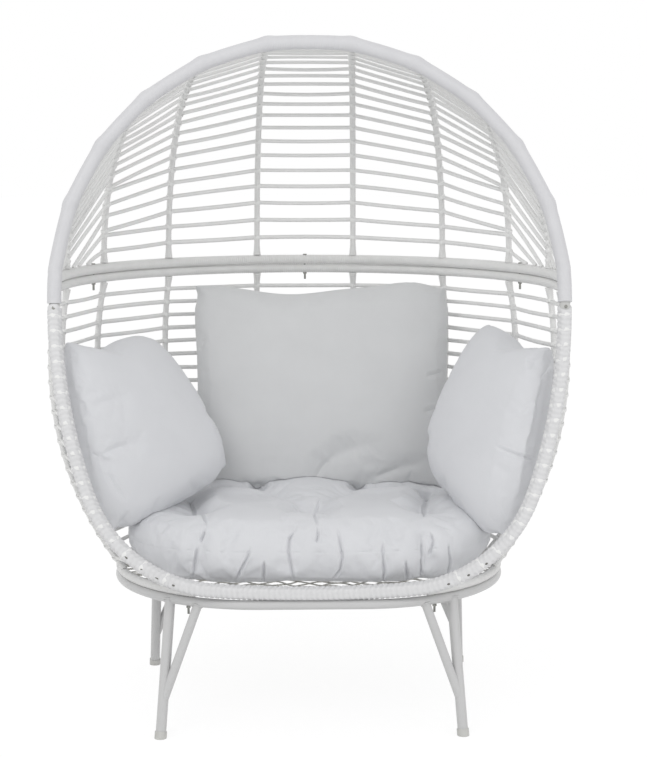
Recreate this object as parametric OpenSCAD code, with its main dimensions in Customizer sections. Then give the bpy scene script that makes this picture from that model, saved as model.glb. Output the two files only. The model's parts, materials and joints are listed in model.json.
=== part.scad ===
// Free-standing egg chair: a split egg of wound cord on steel ribs,
// bolted to a ring base on four splayed legs, with four loose cushions.
// Millimetres, +Z up, the chair faces -Y, origin on the floor at the
// middle of the chair's outer box.

/* [Egg] */
// Radius of the round upper part of the opening, to the middle of the rim
opening_r = 530; // [505:1:545]
// Lean of the opening from the vertical, in degrees
rim_tilt = 11; // [7:1:15]
// Depth of the egg at the split, from the rim to the back
egg_depth = 600; // [560:1:640]
// Height of the basket, from the top of the base ring to the split
basket_h = 639; // [600:1:680]
// Gap between the two tubes that meet at the split
split_gap = 3; // [1:0.5:6]
// How far the split lies above the middle of the round part
round_drop = 16; // [5:1:30]

/* [Rim] */
// Outer diameter of the steel rim tube
rim_tube_d = 22; // [18:1:23]
// Wall of the steel tubes
tube_wall = 1.5; // [1:0.5:3]
// Outer diameter of the cord wrap on the hood's rim
hood_wrap_d = 30; // [27:1:34]
// Outer diameter of the cord wrap on the basket's rim
basket_wrap_d = 26; // [25:1:30]
// Length of the hood's rim below the round part, down to the joint
rim_sleeve = 22; // [15:1:40]
// Radius of the basket rim's lower corners
rim_corner_r = 296; // [285:1:305]
// Turn of the basket rim's long sides, in degrees
rim_side_turn = 20; // [19:0.5:22]
// Turn of each half of the basket rim's low front, in degrees
rim_front_turn = 4; // [3.5:0.1:5]
// Length of the spigot inside each rim joint
spigot_len = 48; // [30:2:50]

/* [Split tubes] */
// Diameter of the two steel tubes at the split
split_tube_d = 14; // [12:1:15]
// Outer diameter of the wrap on the hood's lowest tube
hood_base_wrap_d = 20; // [18:1:22]
// Outer diameter of the wrap on the basket's highest tube
basket_top_wrap_d = 17; // [17:1:20]

/* [Ribs and cords] */
// Diameter of the steel rib rods
rod_d = 8; // [6:1:9]
// Outer diameter of the wrapped ribs
rib_d = 13; // [11:1:15]
// Diameter of the wound cord
cord_d = 8; // [6:0.5:9]
// Rows of cord on the hood
hood_rows = 21; // [16:1:22]
// Rows of cord on the basket
basket_rows = 19; // [14:1:21]
// Outward flare of the basket's ribs at the split, in degrees
flare = 12; // [8:1:15]

/* [Base] */
// Height of the base ring's underside above the floor
base_h = 272; // [240:1:310]
// Diameter of the base ring's tube
ring_d = 20; // [18:1:22]
// Outer diameter of the wrapped ring under the basket
floor_wrap_d = 18; // [16:1:20]
// Half the width of the base ring, to the middle of its tube
ring_half_w = 417; // [400:1:430]
// Depth of the base ring, to the middle of its tube
ring_depth = 544; // [535:1:570]
// Radius of the base ring's front corners
ring_front_r = 310; // [290:1:318]
// Radius of the base ring's back corners
ring_back_r = 215; // [190:1:222]
// Diameter of the legs
leg_d = 22; // [19:1:25]
// Diameter of the braces
brace_d = 19; // [16:1:21]
// Height at which the braces meet the legs
brace_h = 73; // [60:1:110]
// Half the spacing of the front feet
front_foot_w = 315; // [300:1:330]
// Half the spacing of the rear feet
rear_foot_w = 359; // [345:1:375]
// How far the front feet stand behind the rim's low front
front_foot_in = 2; // [0:1:20]
// How far the rear feet stand in front of the base ring's back
rear_foot_in = 12; // [0:1:30]
// Outer diameter of the foot caps
cap_d = 25.5; // [25:0.5:28]
// Height of the foot caps
cap_h = 14; // [10:1:20]

/* [Fasteners] */
// Thread diameter of the bolts
bolt_d = 5; // [4:1:6]
// Diameter of the bolt heads and nuts
bolt_head_d = 9; // [8:0.5:10]
// Length of bare thread below each nut
bolt_tail = 12; // [8:1:16]

/* [Cushions] */
// Half the width of the seat cushion
seat_half_w = 392; // [360:1:396]
// Depth of the seat cushion
seat_depth = 520; // [480:1:530]
// Thickness of the seat cushion at its crown
seat_crown = 148; // [120:1:160]
// Width of the back cushion
back_w = 596; // [540:4:600]
// Height of the back cushion
back_l = 470; // [430:5:480]
// Thickness of the back cushion
back_t = 150; // [120:5:160]
// Width and height of the two side cushions, between their sewn corners
side_w = 360; // [330:5:365]
// Thickness of the side cushions
side_t = 140; // [100:5:145]
// Spacing of the cords in the seat net
net_pitch = 52; // [45:1:70]
// Diameter of the cords in the seat net
net_d = 4; // [3:0.5:4.5]

/* [Hidden] */
$fn = 64;

// Clearances: round parts in bores, wraps on tubes, and parts that rest
fit = 0.2;
wrap_fit = 0.3;
bow_gap = 2;
seat_gap = 0.3;
collar_rise = 0.2;
collar_len = 8;
// How far a cut runs past a surface, and a joined shape into its neighbour
past = 1;
// Reach of the blocks that cut the legs level, and of the net's long cords
reach = 1000;
net_reach = 1400;

// Heights
ring_z = base_h + ring_d / 2;
floor_z = base_h + ring_d + seat_gap + floor_wrap_d / 2;
rim_z = base_h + ring_d + seat_gap + basket_wrap_d / 2;
split_z = base_h + ring_d + basket_h;
hood_tube_z = split_z + split_gap / 2 + hood_base_wrap_d / 2;
top_tube_z = split_z - split_gap / 2 - basket_top_wrap_d / 2;
hood_foot_z = hood_tube_z + hood_base_wrap_d / 2 + seat_gap;
basket_head_z = top_tube_z - basket_top_wrap_d / 2 - seat_gap;
basket_foot_z = floor_z + floor_wrap_d / 2 + seat_gap;

// The rim's plane: x across, s up the slope from the rim's low front
split_s = (split_z - rim_z) / cos(rim_tilt);
round_s = split_s - round_drop;
joint_s = round_s - rim_sleeve;
// What the side and front arcs have left to cover beside the corner's arc
rim_left_x = opening_r - rim_corner_r * (cos(rim_side_turn) - sin(rim_front_turn));
rim_left_s = joint_s - rim_corner_r * (cos(rim_front_turn) - sin(rim_side_turn));
rim_share = (1 - cos(rim_side_turn)) * (1 - cos(rim_front_turn))
    - sin(rim_side_turn) * sin(rim_front_turn);
rim_side_r = (rim_left_x * (1 - cos(rim_front_turn)) - rim_left_s * sin(rim_front_turn))
    / rim_share;
rim_front_r = (rim_left_s * (1 - cos(rim_side_turn)) - rim_left_x * sin(rim_side_turn))
    / rim_share;
side_c = [opening_r - rim_side_r, joint_s];
front_c = [0, rim_front_r];
corner_c = side_c
    + (rim_side_r - rim_corner_r) * [cos(rim_side_turn), -sin(rim_side_turn)];
side_end = side_c + rim_side_r * [cos(rim_side_turn), -sin(rim_side_turn)];
front_end = front_c + rim_front_r * [sin(rim_front_turn), -cos(rim_front_turn)];

// The split's plan: a half round behind the rim with straight ends
rim_split_y = split_s * sin(rim_tilt);
plan_y = rim_split_y + egg_depth - opening_r;

// Rib places: angle round the split from the back, angle on the rim from
// its top, and angle on the base ring, for ribs from the back forwards
hood_ribs = [[12.5, 9.5], [37.2, 25], [59.6, 40], [80, 54.5], [91.3, 69.5]];
basket_ribs = [[12.5, -95], [37.2, 15], [59.6, 46], [80, 78], [91.3, 108]];
RIBS = len(hood_ribs);
row_bias = [1.3, 1.3, 1.3, 1.2, 1.0];
split_rows = 3;
side_rows = 2;
rib_four_rows = 8;
row_pairs = [2, 6];
pair_pitch = cord_d + 2;
split_row_from = 68.6;
split_row_step = 3.1;
side_row_from = 84;
side_row_step = 2;
rim_row_from = 86.5;
rim_row_step = 1.8;

// The outer box, from the rim's low front to the widest place at the back
back_rib = basket_rib(0);
back_y = back_rib[3][1] + rib_arc_r(back_rib) * sin(back_rib[6]) + rib_d / 2;
middle_y = (back_y - basket_wrap_d / 2) / 2;

// A point given in the rim's plane, in space
function on_rim_plane(x, s) = [x, s * sin(rim_tilt), rim_z + s * cos(rim_tilt)];

// Half width of the basket's rim at the slope height s
function rim_half(s) =
    s >= side_end[1]
    ? side_c[0] + sqrt(pow(rim_side_r, 2) - pow(s - side_c[1], 2))
    : s >= front_end[1]
    ? corner_c[0] + sqrt(pow(rim_corner_r, 2) - pow(s - corner_c[1], 2))
    : sqrt(pow(rim_front_r, 2) - pow(rim_front_r - s, 2));

function basket_rim_point(s) = on_rim_plane(rim_half(s), s);
function hood_rim_point(a) = on_rim_plane(opening_r * sin(a), round_s + opening_r * cos(a));

// Direction along the rim, as a difference of two near points
function basket_rim_way(s) =
    let(d = basket_rim_point(s + 1) - basket_rim_point(max(s - 1, 0.1))) d / norm(d);
function hood_rim_way(a) =
    let(d = hood_rim_point(a + 0.1) - hood_rim_point(a - 0.1)) d / norm(d);

// A point on the split's plan, at an angle from the back
function split_point(a, z) = a <= 90
    ? [opening_r * sin(a), plan_y + opening_r * cos(a), z]
    : [opening_r, plan_y - opening_r * (a - 90) * PI / 180, z];

// A point on the base ring's plan: up to 90 degrees on the back corner,
// from 90 on the front corner, and below 0 the distance from the middle
// of the straight back
function ring_point(a, z) =
    a < 0 ? [-a, ring_depth, z]
    : a <= 90 ? [
        ring_half_w - ring_back_r * (1 - sin(a)),
        ring_depth - ring_back_r * (1 - cos(a)),
        z
    ]
    : [
        ring_half_w - ring_front_r * (1 - sin(a)),
        ring_front_r * (1 + cos(a)),
        z
    ];

// A rib is [centre, azimuth, radius, first point, start angle, end angle,
// azimuth of its outward side, rod side]
function hood_rib(i) =
    let(
        base = split_point(hood_ribs[i][0], hood_foot_z),
        top = hood_rim_point(hood_ribs[i][1]),
        run = [top[0] - base[0], top[1] - base[1]],
        h = norm(run),
        v = top[2] - base[2],
        r = (h * h + v * v) / (2 * h),
        turn = 2 * atan2(h, v),
        way = run / h,
        tip = [way[0] * sin(turn), way[1] * sin(turn), cos(turn)],
        lean = abs(tip * hood_rim_way(hood_ribs[i][1])),
        cut = (hood_wrap_d / 2 + seat_gap + rib_d / 2 * lean) / sqrt(1 - lean * lean)
    )
    [
        [base[0] + way[0] * r, base[1] + way[1] * r, base[2]],
        atan2(-way[1], -way[0]), r, base, 0, turn - (cut + fit) / r * 180 / PI, 0
    ];

function basket_rib(i) =
    let(
        head = split_point(basket_ribs[i][0], basket_head_z),
        foot = ring_point(basket_ribs[i][1], basket_foot_z),
        run = [head[0] - foot[0], head[1] - foot[1]],
        h = norm(run),
        v = head[2] - foot[2],
        half = atan2(h, v) + flare,
        r = norm([h, v]) / (2 * sin(half)),
        way = run / h
    )
    [
        [
            head[0] - way[0] * r * cos(flare),
            head[1] - way[1] * r * cos(flare),
            head[2] - r * sin(flare)
        ],
        atan2(way[1], way[0]), r, head, flare, flare - 2 * half, atan2(way[1], way[0])
    ];

// How far a basket rib swells beyond its head
function rib_arc_r(rib) = rib[2] * (1 - cos(flare));

function rib_angle(rib, t) =
    rib[4] + sign(rib[5] - rib[4]) * t / rib[2] * 180 / PI;
function rib_length(rib) = abs(rib[5] - rib[4]) * rib[2] * PI / 180;
function rib_point(rib, t) =
    let(a = rib_angle(rib, t))
    rib[0] + rib[2] * [cos(a) * cos(rib[1]), cos(a) * sin(rib[1]), sin(a)];
function rib_way(rib, t) =
    let(a = rib_angle(rib, t))
    [-sin(a) * cos(rib[1]), -sin(a) * sin(rib[1]), cos(a)];

// Height of row k of n along hood rib i: wide steps low, close steps high
function hood_row(i, k, n) =
    (rib_length(hood_rib(i)) - cord_d) * (1 - pow(1 - k / (n + 1), row_bias[i]));

// On the third rib two pairs of rows close up, side by side
function paired_row(k) =
    len(search(k, row_pairs)) > 0 ? hood_row(2, k + 0.5, hood_rows) - pair_pitch / 2
    : len(search(k - 1, row_pairs)) > 0 ? hood_row(2, k - 0.5, hood_rows) + pair_pitch / 2
    : hood_row(2, k, hood_rows);

// Beyond the third rib each pair goes on as one row
function joined_row(k) =
    k < row_pairs[0] ? k
    : k == row_pairs[0] ? k + 0.5
    : k < row_pairs[1] - 1 ? k + 1
    : k == row_pairs[1] - 1 ? k + 1.5
    : k + 2;
function third_row(k) = hood_row(2, joined_row(k), hood_rows);

function flip(p) = [-p[0], p[1], p[2]];

// ---------- shared shapes ----------

module placed() {
    translate([0, -middle_y, 0]) children();
}

module both_sides() {
    children();
    mirror([1, 0, 0]) children();
}

module section(d, bore) {
    difference() {
        circle(d = d);
        if (bore > 0) circle(d = bore);
    }
}

// A length of tube bent to an arc, from start degrees
module bent(r, start, turn, d, bore) {
    rotate_extrude(angle = turn, start = start, $fn = 180)
        translate([r, 0]) section(d, bore, $fn = 64);
}

module rod(from, to, d, bore = 0) {
    way = to - from;
    translate(from)
        rotate([0, acos(way[2] / norm(way)), atan2(way[1], way[0])])
            linear_extrude(height = norm(way)) section(d, bore);
}

// The low bead where two bent lengths are joined
module bend_collar(at, angle, d, bore) {
    translate(at) rotate([0, 0, angle]) rotate([90, 0, 0])
        linear_extrude(height = collar_len, center = true)
            section(d + collar_rise, bore > 0 ? bore - collar_rise : 0);
}

module in_rim_plane() {
    translate([0, 0, rim_z]) rotate([90 - rim_tilt, 0, 0]) children();
}

// The basket's rim, from joint to joint
module basket_rim_path(d, bore) {
    in_rim_plane() {
        both_sides() {
            translate(side_c) bent(rim_side_r, -rim_side_turn, rim_side_turn, d, bore);
            translate(corner_c) bent(rim_corner_r, rim_front_turn - 90,
                90 - rim_front_turn - rim_side_turn, d, bore);
            bend_collar(side_end, -rim_side_turn, d, bore);
            bend_collar(front_end, rim_front_turn - 90, d, bore);
        }
        translate(front_c)
            bent(rim_front_r, -90 - rim_front_turn, 2 * rim_front_turn, d, bore);
    }
}

// The hood's rim: the round part and a short straight end on each side
module hood_rim_path(d, bore) {
    in_rim_plane() {
        translate([0, round_s]) bent(opening_r, 0, 180, d, bore);
        both_sides() translate([opening_r, round_s, 0]) rotate([90, 0, 0])
            linear_extrude(height = rim_sleeve - seat_gap) section(d, bore);
    }
}

// A level tube round the split, stopping short of the rim's wrap
module split_path(z, d, bore, wrap_d) {
    reach = plan_y - (z - rim_z) * tan(rim_tilt)
        - (wrap_d / 2 + seat_gap) / cos(rim_tilt) - d / 2 * tan(rim_tilt);
    translate([0, 0, z]) {
        translate([0, plan_y]) bent(opening_r, 0, 180, d, bore);
        both_sides() translate([opening_r, plan_y, 0]) rotate([90, 0, 0])
            linear_extrude(height = reach) section(d, bore);
    }
}

module ring_straight(from, to, d, bore) {
    rod([from[0], from[1], 0], [to[0], to[1], 0], d, bore);
}

// The base ring's plan, from the front or from floor_start, to the back
module ring_half(start, d, bore) {
    front_c = [ring_half_w - ring_front_r, ring_front_r];
    back_c = [ring_half_w - ring_back_r, ring_depth - ring_back_r];
    translate(front_c) mirror([0, 1, 0]) bent(ring_front_r, 0, 90 - start, d, bore);
    ring_straight([ring_half_w, front_c[1]], [ring_half_w, back_c[1]], d, bore);
    translate(back_c) bent(ring_back_r, 0, 90, d, bore);
    ring_straight([back_c[0], ring_depth], [0, ring_depth], d, bore);
}

module floor_ring_path(d, bore) {
    translate([0, 0, floor_z]) both_sides() ring_half(floor_start, d, bore);
}

module base_ring_path(d, bore) {
    translate([0, 0, ring_z]) both_sides() {
        ring_half(0, d, bore);
        ring_straight([0, 0], [ring_half_w - ring_front_r, 0], d, bore);
    }
}

// Angle on the front corner at which the wrapped floor ring clears the rim
ring_end_turn = 3.5;
floor_start = acos(1 - (basket_wrap_d + floor_wrap_d) / 2 / ring_front_r) + ring_end_turn;

module rib(r, d, bore) {
    translate(r[0]) rotate([90, 0, r[1]])
        bent(r[2], min(r[4], r[5]), abs(r[5] - r[4]), d, bore);
}

// A straight cord between two carriers, cut back to their wraps
module cord(p, way_p, d_p, q, way_q, d_q) {
    u = (q - p) / norm(q - p);
    from = cord_cut(u, way_p, d_p);
    to = cord_cut(u, way_q, d_q);
    if (norm(q - p) - from - to > cord_d)
        rod(p + u * from, q - u * to, cord_d);
}

function cord_cut(u, way, d) =
    let(lean = abs(u * way))
    (d / 2 + seat_gap + cord_d / 2 * lean) / sqrt(1 - lean * lean);

// ---------- base ----------

// Places on the base ring, in degrees round its corners
front_leg_place = 142.7;
front_brace_place = 155.8;
front_bolt_place = 151.3;
rear_leg_place = 42.4;
rear_brace_place = 17.6;
rear_bolt_place = 26;

function front_leg_top() = ring_point(front_leg_place, ring_z);
function rear_leg_top() = ring_point(rear_leg_place, ring_z);
function front_brace_top() = ring_point(front_brace_place, ring_z);
function rear_brace_top() = ring_point(rear_brace_place, ring_z);
function front_foot() = [front_foot_w, front_foot_in, 0];
function rear_foot() = [rear_foot_w, ring_depth - rear_foot_in, 0];
function base_bolt_points() = [ring_point(front_bolt_place, 0), ring_point(rear_bolt_place, 0)];

module base_ring() {
    color("whitesmoke") placed() difference() {
        base_ring_path(ring_d, ring_d - 2 * tube_wall);
        both_sides() for (p = base_bolt_points())
            translate([p[0], p[1], base_h - past])
                cylinder(h = ring_d + 2 * past, d = bolt_d + 2 * fit);
    }
}

module leg(foot, top) {
    color("whitesmoke") difference() {
        intersection() {
            rod(foot - (top - foot) * leg_overrun, top, leg_d, leg_d - 2 * tube_wall);
            above(foot_lift);
        }
        base_ring_path(ring_d + 2 * seat_gap, 0);
    }
}

// The leg's end stands this high inside its cap, and is cut level from a
// tube that runs on by this share
foot_lift = 3;
leg_overrun = 0.05;

// All that lies above a level
module above(z) {
    translate([-reach, -reach, z]) cube([2 * reach, 2 * reach, reach]);
}

module front_right_leg() placed() leg(front_foot(), front_leg_top());
module front_left_leg() placed() mirror([1, 0, 0]) leg(front_foot(), front_leg_top());
module rear_right_leg() placed() leg(rear_foot(), rear_leg_top());
module rear_left_leg() placed() mirror([1, 0, 0]) leg(rear_foot(), rear_leg_top());

module brace(foot, top, ring_end) {
    low = foot + (top - foot) * brace_h / ring_z;
    color("whitesmoke") difference() {
        rod(low, ring_end, brace_d, brace_d - 2 * tube_wall);
        rod(foot, top, leg_d + 2 * seat_gap);
        base_ring_path(ring_d + 2 * seat_gap, 0);
    }
}

module front_right_brace() placed()
    brace(front_foot(), front_leg_top(), front_brace_top());
module front_left_brace() placed() mirror([1, 0, 0])
    brace(front_foot(), front_leg_top(), front_brace_top());
module rear_right_brace() placed()
    brace(rear_foot(), rear_leg_top(), rear_brace_top());
module rear_left_brace() placed() mirror([1, 0, 0])
    brace(rear_foot(), rear_leg_top(), rear_brace_top());

module foot_cap(foot, top) {
    way = (top - foot) / norm(top - foot);
    difference() {
        rod(foot - way * cap_d, foot + way * cap_h, cap_d);
        above(-reach);
        intersection() {
            rod(foot - way * cap_d, foot + way * (cap_h + past), leg_d + 2 * fit);
            above(foot_lift - fit);
        }
    }
}

module foot_caps() {
    color("gainsboro") placed() both_sides() {
        foot_cap(front_foot(), front_leg_top());
        foot_cap(rear_foot(), rear_leg_top());
    }
}

head_share = 0.6;
head_h = bolt_d * head_share;
nut_h = bolt_d * 0.8;

// A bolt that hangs from its head, with its bare thread below the nut
module hung_bolt(head_z, low_z) {
    translate([0, 0, low_z]) cylinder(h = head_z - low_z + past, d = bolt_d);
    translate([0, 0, head_z]) cylinder(h = head_h, d = bolt_head_d);
}

module nut(top_z) {
    translate([0, 0, top_z - nut_h]) difference() {
        cylinder(h = nut_h, d = bolt_head_d, $fn = 6);
        translate([0, 0, -past]) cylinder(h = nut_h + 2 * past, d = bolt_d + 2 * fit);
    }
}

module base_bolts() {
    color("silver") placed() both_sides() for (p = base_bolt_points())
        translate([p[0], p[1], 0])
            hung_bolt(floor_z + floor_wrap_d / 2 + seat_gap, base_h - bolt_d - bolt_tail);
}

module base_nuts() {
    color("silver") placed() both_sides() for (p = base_bolt_points())
        translate([p[0], p[1], 0]) nut(base_h - seat_gap);
}

// ---------- basket ----------

module floor_holes(d) {
    both_sides() for (p = base_bolt_points())
        translate([p[0], p[1], floor_z - floor_wrap_d]) cylinder(h = 2 * floor_wrap_d, d = d);
}

floor_wrap_t = 2;
floor_tube_d = floor_wrap_d - 2 * floor_wrap_t;

module floor_ring_tube() {
    color("gainsboro") placed() difference() {
        floor_ring_path(floor_tube_d, floor_tube_d - 2 * tube_wall);
        floor_holes(bolt_d + 2 * fit);
    }
}

module floor_ring_wrap() {
    color("white") placed() difference() {
        floor_ring_path(floor_wrap_d, floor_tube_d + 2 * fit);
        floor_holes(bolt_d + 2 * fit);
    }
}

// The net's field: the inside of the floor ring, short of the rim in front
module net_field() {
    inset = floor_wrap_d / 2 + seat_gap;
    front_y = basket_wrap_d / 2 + seat_gap;
    intersection() {
        union() {
            net_end(ring_front_r, ring_front_r, inset, -1);
            net_end(ring_back_r, ring_depth - ring_back_r, inset, 1);
            translate([inset - ring_half_w, ring_front_r])
                square([2 * (ring_half_w - inset), ring_depth - ring_back_r - ring_front_r]);
        }
        translate([-ring_half_w, front_y]) square([2 * ring_half_w, ring_depth]);
    }
}

// One rounded end of the field, on the side of its corners' middles
module net_end(r, middle, inset, side) {
    half = ring_half_w - r;
    intersection() {
        union() {
            both_sides() translate([half, middle]) circle(r = r - inset, $fn = 180);
            translate([-half, middle - r + inset]) square([2 * half, 2 * (r - inset)]);
        }
        translate([-ring_half_w, side > 0 ? middle : middle - r])
            square([2 * ring_half_w, r]);
    }
}

net_angle = 32;
net_count = 11;

module seat_net() {
    layer = (net_d + fit) / 2;
    color("darkkhaki") placed() intersection() {
        translate([0, 0, floor_z - net_d * 2]) linear_extrude(height = net_d * 4) net_field();
        union() for (side = [-1, 1]) for (k = [-net_count:net_count])
            translate([k * net_pitch / sin(net_angle), ring_depth / 2, floor_z + side * layer])
                rotate([0, 0, side * net_angle]) rotate([0, 90, 0])
                    cylinder(h = net_reach, d = net_d, center = true);
    }
}

module basket_rim_tube() {
    color("gainsboro") placed() difference() {
        basket_rim_path(rim_tube_d, rim_tube_d - 2 * tube_wall);
        screw_holes(screw_d + 2 * fit);
    }
}

module basket_rim_wrap() {
    color("white") placed() difference() {
        basket_rim_path(basket_wrap_d, rim_tube_d + 2 * wrap_fit);
        screw_holes(screw_head_d + 2 * fit);
    }
}

split_bolt_angles = [0, 64.4];

module split_holes() {
    both_sides() for (a = split_bolt_angles)
        translate(split_point(a, split_z - 2 * hood_base_wrap_d))
            cylinder(h = 4 * hood_base_wrap_d, d = bolt_d + 2 * fit);
}

module basket_top_tube() {
    color("gainsboro") placed() difference() {
        split_path(top_tube_z, split_tube_d, split_tube_d - 2 * tube_wall, basket_wrap_d);
        split_holes();
    }
}

module basket_top_wrap() {
    color("white") placed() difference() {
        split_path(top_tube_z, basket_top_wrap_d, split_tube_d + 2 * fit, basket_wrap_d);
        split_holes();
    }
}

module basket_rib_rods() {
    color("gainsboro") placed() both_sides() for (i = [0:RIBS - 1])
        rib(basket_rib(i), rod_d, 0);
}

module basket_side_wraps() {
    for (i = [0:RIBS - 1]) rib(basket_rib(i), rib_d, rod_d + 2 * fit);
}

module basket_right_rib_wraps() {
    color("white") placed() basket_side_wraps();
}

module basket_left_rib_wraps() {
    color("white") placed() mirror([1, 0, 0]) basket_side_wraps();
}

// Cords of the basket between two neighbouring ribs
module basket_panel(i) {
    for (k = [1:basket_rows])
        let(
            a = basket_rib(i),
            b = basket_rib(i + 1),
            ta = rib_length(a) * k / (basket_rows + 1),
            tb = rib_length(b) * k / (basket_rows + 1)
        )
        cord(rib_point(a, ta), rib_way(a, ta), rib_d, rib_point(b, tb), rib_way(b, tb), rib_d);
}

// Cords from the foremost basket rib to the rim
module basket_edge_panel() {
    for (k = [1:basket_rows])
        let(
            a = basket_rib(RIBS - 1),
            ta = rib_length(a) * k / (basket_rows + 1),
            p = rib_point(a, ta),
            s = (p[2] - edge_fall * (1 - k / basket_rows) - rim_z) / cos(rim_tilt)
        )
        cord(p, rib_way(a, ta), rib_d,
            basket_rim_point(min(s, joint_s)), basket_rim_way(min(s, joint_s)), basket_wrap_d);
}

edge_fall = 12;

module basket_back_cords() {
    color("white") placed() for (k = [1:basket_rows])
        let(
            a = basket_rib(0),
            t = rib_length(a) * k / (basket_rows + 1),
            p = rib_point(a, t),
            w = rib_way(a, t)
        )
        cord(flip(p), flip(w), rib_d, p, w, rib_d);
}

module basket_right_cords() {
    color("white") placed() basket_side_cords();
}

module basket_left_cords() {
    color("white") placed() mirror([1, 0, 0]) basket_side_cords();
}

module basket_side_cords() {
    for (i = [0:RIBS - 2]) basket_panel(i);
    basket_edge_panel();
}

// ---------- joints between the halves ----------

spigot_d = rim_tube_d - 2 * tube_wall - 4 * fit;
screw_d = 4;
screw_head_d = 7;
screw_len = 12;
screw_drop = 9;

module at_rim_joint() {
    in_rim_plane() both_sides() translate([opening_r, joint_s, 0]) children();
}

// A hole for each rim screw, through the front of the rim
module screw_holes(d) {
    at_rim_joint() translate([0, -screw_drop, 0]) cylinder(h = basket_wrap_d, d = d);
}

module rim_spigots() {
    color("silver") placed() difference() {
        at_rim_joint() rotate([90, 0, 0])
            cylinder(h = spigot_len, d = spigot_d, center = true);
        screw_holes(screw_d + fit);
    }
}

module rim_screws() {
    color("silver") placed() at_rim_joint()
        translate([0, -screw_drop, rim_tube_d / 2 + seat_gap]) {
            translate([0, 0, past - screw_len]) cylinder(h = screw_len, d = screw_d);
            cylinder(h = screw_d * head_share, d = screw_head_d);
        }
}

module split_bolts() {
    color("silver") placed() {
        translate(split_point(0, 0)) split_bolt();
        both_sides() translate(split_point(split_bolt_angles[1], 0)) split_bolt();
    }
}

module split_bolt() {
    hung_bolt(hood_tube_z + hood_base_wrap_d / 2 + seat_gap,
        top_tube_z - basket_top_wrap_d / 2 - bolt_d - bolt_tail);
}

module split_nuts() {
    color("silver") placed() {
        translate(split_point(0, 0)) split_nut();
        both_sides() translate(split_point(split_bolt_angles[1], 0)) split_nut();
    }
}

module split_nut() {
    nut(top_tube_z - basket_top_wrap_d / 2 - seat_gap);
}

// ---------- hood ----------

module hood_rim_tube() {
    color("gainsboro") placed() hood_rim_path(rim_tube_d, rim_tube_d - 2 * tube_wall);
}

module hood_rim_wrap() {
    color("white") placed() hood_rim_path(hood_wrap_d, rim_tube_d + 2 * wrap_fit);
}

module hood_base_tube() {
    color("gainsboro") placed() difference() {
        split_path(hood_tube_z, split_tube_d, split_tube_d - 2 * tube_wall, hood_wrap_d);
        split_holes();
    }
}

module hood_base_wrap() {
    color("white") placed() difference() {
        split_path(hood_tube_z, hood_base_wrap_d, split_tube_d + 2 * fit, hood_wrap_d);
        split_holes();
    }
}

module hood_rib_rods() {
    color("gainsboro") placed() both_sides() for (i = [0:RIBS - 1])
        rib(hood_rib(i), rod_d, 0);
}

module hood_side_wraps() {
    for (i = [0:RIBS - 1]) rib(hood_rib(i), rib_d, rod_d + 2 * fit);
}

module hood_right_rib_wraps() {
    color("white") placed() hood_side_wraps();
}

module hood_left_rib_wraps() {
    color("white") placed() mirror([1, 0, 0]) hood_side_wraps();
}

// One cord between row heights ta and tb on hood ribs i and j
module hood_cord(i, ta, j, tb) {
    a = hood_rib(i);
    b = hood_rib(j);
    cord(rib_point(a, ta), rib_way(a, ta), rib_d, rib_point(b, tb), rib_way(b, tb), rib_d);
}

// One cord from a hood rib down to the hood's base tube
module hood_split_cord(i, ta, angle) {
    a = hood_rib(i);
    cord(rib_point(a, ta), rib_way(a, ta), rib_d, split_point(angle, hood_tube_z),
        [cos(angle), -sin(angle), 0], hood_base_wrap_d + 2 * bow_gap);
}

// One cord from a hood rib to the rim
module hood_rim_cord(i, ta, angle) {
    a = hood_rib(i);
    cord(rib_point(a, ta), rib_way(a, ta), rib_d, hood_rim_point(angle),
        hood_rim_way(angle), hood_wrap_d);
}

module hood_back_cords() {
    color("white") placed() for (k = [1:hood_rows])
        let(
            a = hood_rib(0),
            t = hood_row(0, k, hood_rows),
            p = rib_point(a, t),
            w = rib_way(a, t)
        )
        cord(flip(p), flip(w), rib_d, p, w, rib_d);
}

module hood_side_cords() {
    for (k = [1:hood_rows])
        hood_cord(0, hood_row(0, k, hood_rows), 1, hood_row(1, k, hood_rows));
    for (k = [1:hood_rows])
        hood_cord(1, hood_row(1, k, hood_rows), 2, paired_row(k));
    // The lowest rows behind the fourth rib end on the base tube
    for (k = [1:split_rows])
        hood_split_cord(2, third_row(k), split_row_from + split_row_step * k);
    fourth = hood_rows - len(row_pairs) - split_rows;
    for (k = [1:fourth])
        hood_cord(2, third_row(k + split_rows), 3, hood_row(3, k, fourth));
    // In front of the fourth rib the rows fall steeply to the rim
    for (k = [1:side_rows])
        hood_split_cord(3, hood_row(3, k, fourth), side_row_from + side_row_step * k);
    for (k = [1:rib_four_rows])
        hood_cord(3, hood_row(3, k + side_rows, fourth), 4, hood_row(4, k, rib_four_rows));
    for (k = [1:rib_four_rows])
        hood_rim_cord(4, hood_row(4, k, rib_four_rows), rim_row_from - rim_row_step * k);
}

module hood_right_cords() {
    color("white") placed() hood_side_cords();
}

module hood_left_cords() {
    color("white") placed() mirror([1, 0, 0]) hood_side_cords();
}

// ---------- cushions ----------

// The seat cushion lies on the net
seat_front = 12;
seat_mid_y = seat_front + seat_depth / 2;
seat_bottom_z = floor_z + net_d + fit + seat_gap;
seat_seam_z = seat_bottom_z + 72;
seat_edge_z = seat_bottom_z + 112;
seat_under_z = seat_bottom_z + 30;
seat_spokes = 48;
seat_rings = 13;
// The outline's share at each height, from the crown's rim to the underside
top_share = 0.96;
top_power = 0.9;
seam_share = 1.01;
under_share = 0.97;
swell_share = 0.87;
roll_share = 0.7;
bottom_share = 0.45;
// The underside rises here, and at the front it rolls up off the net
swell_rise = 8;
front_lift = 17;
roll_lift = 15;
edge_drop = 18;
front_power = 3;
back_power = 2.4;
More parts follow.
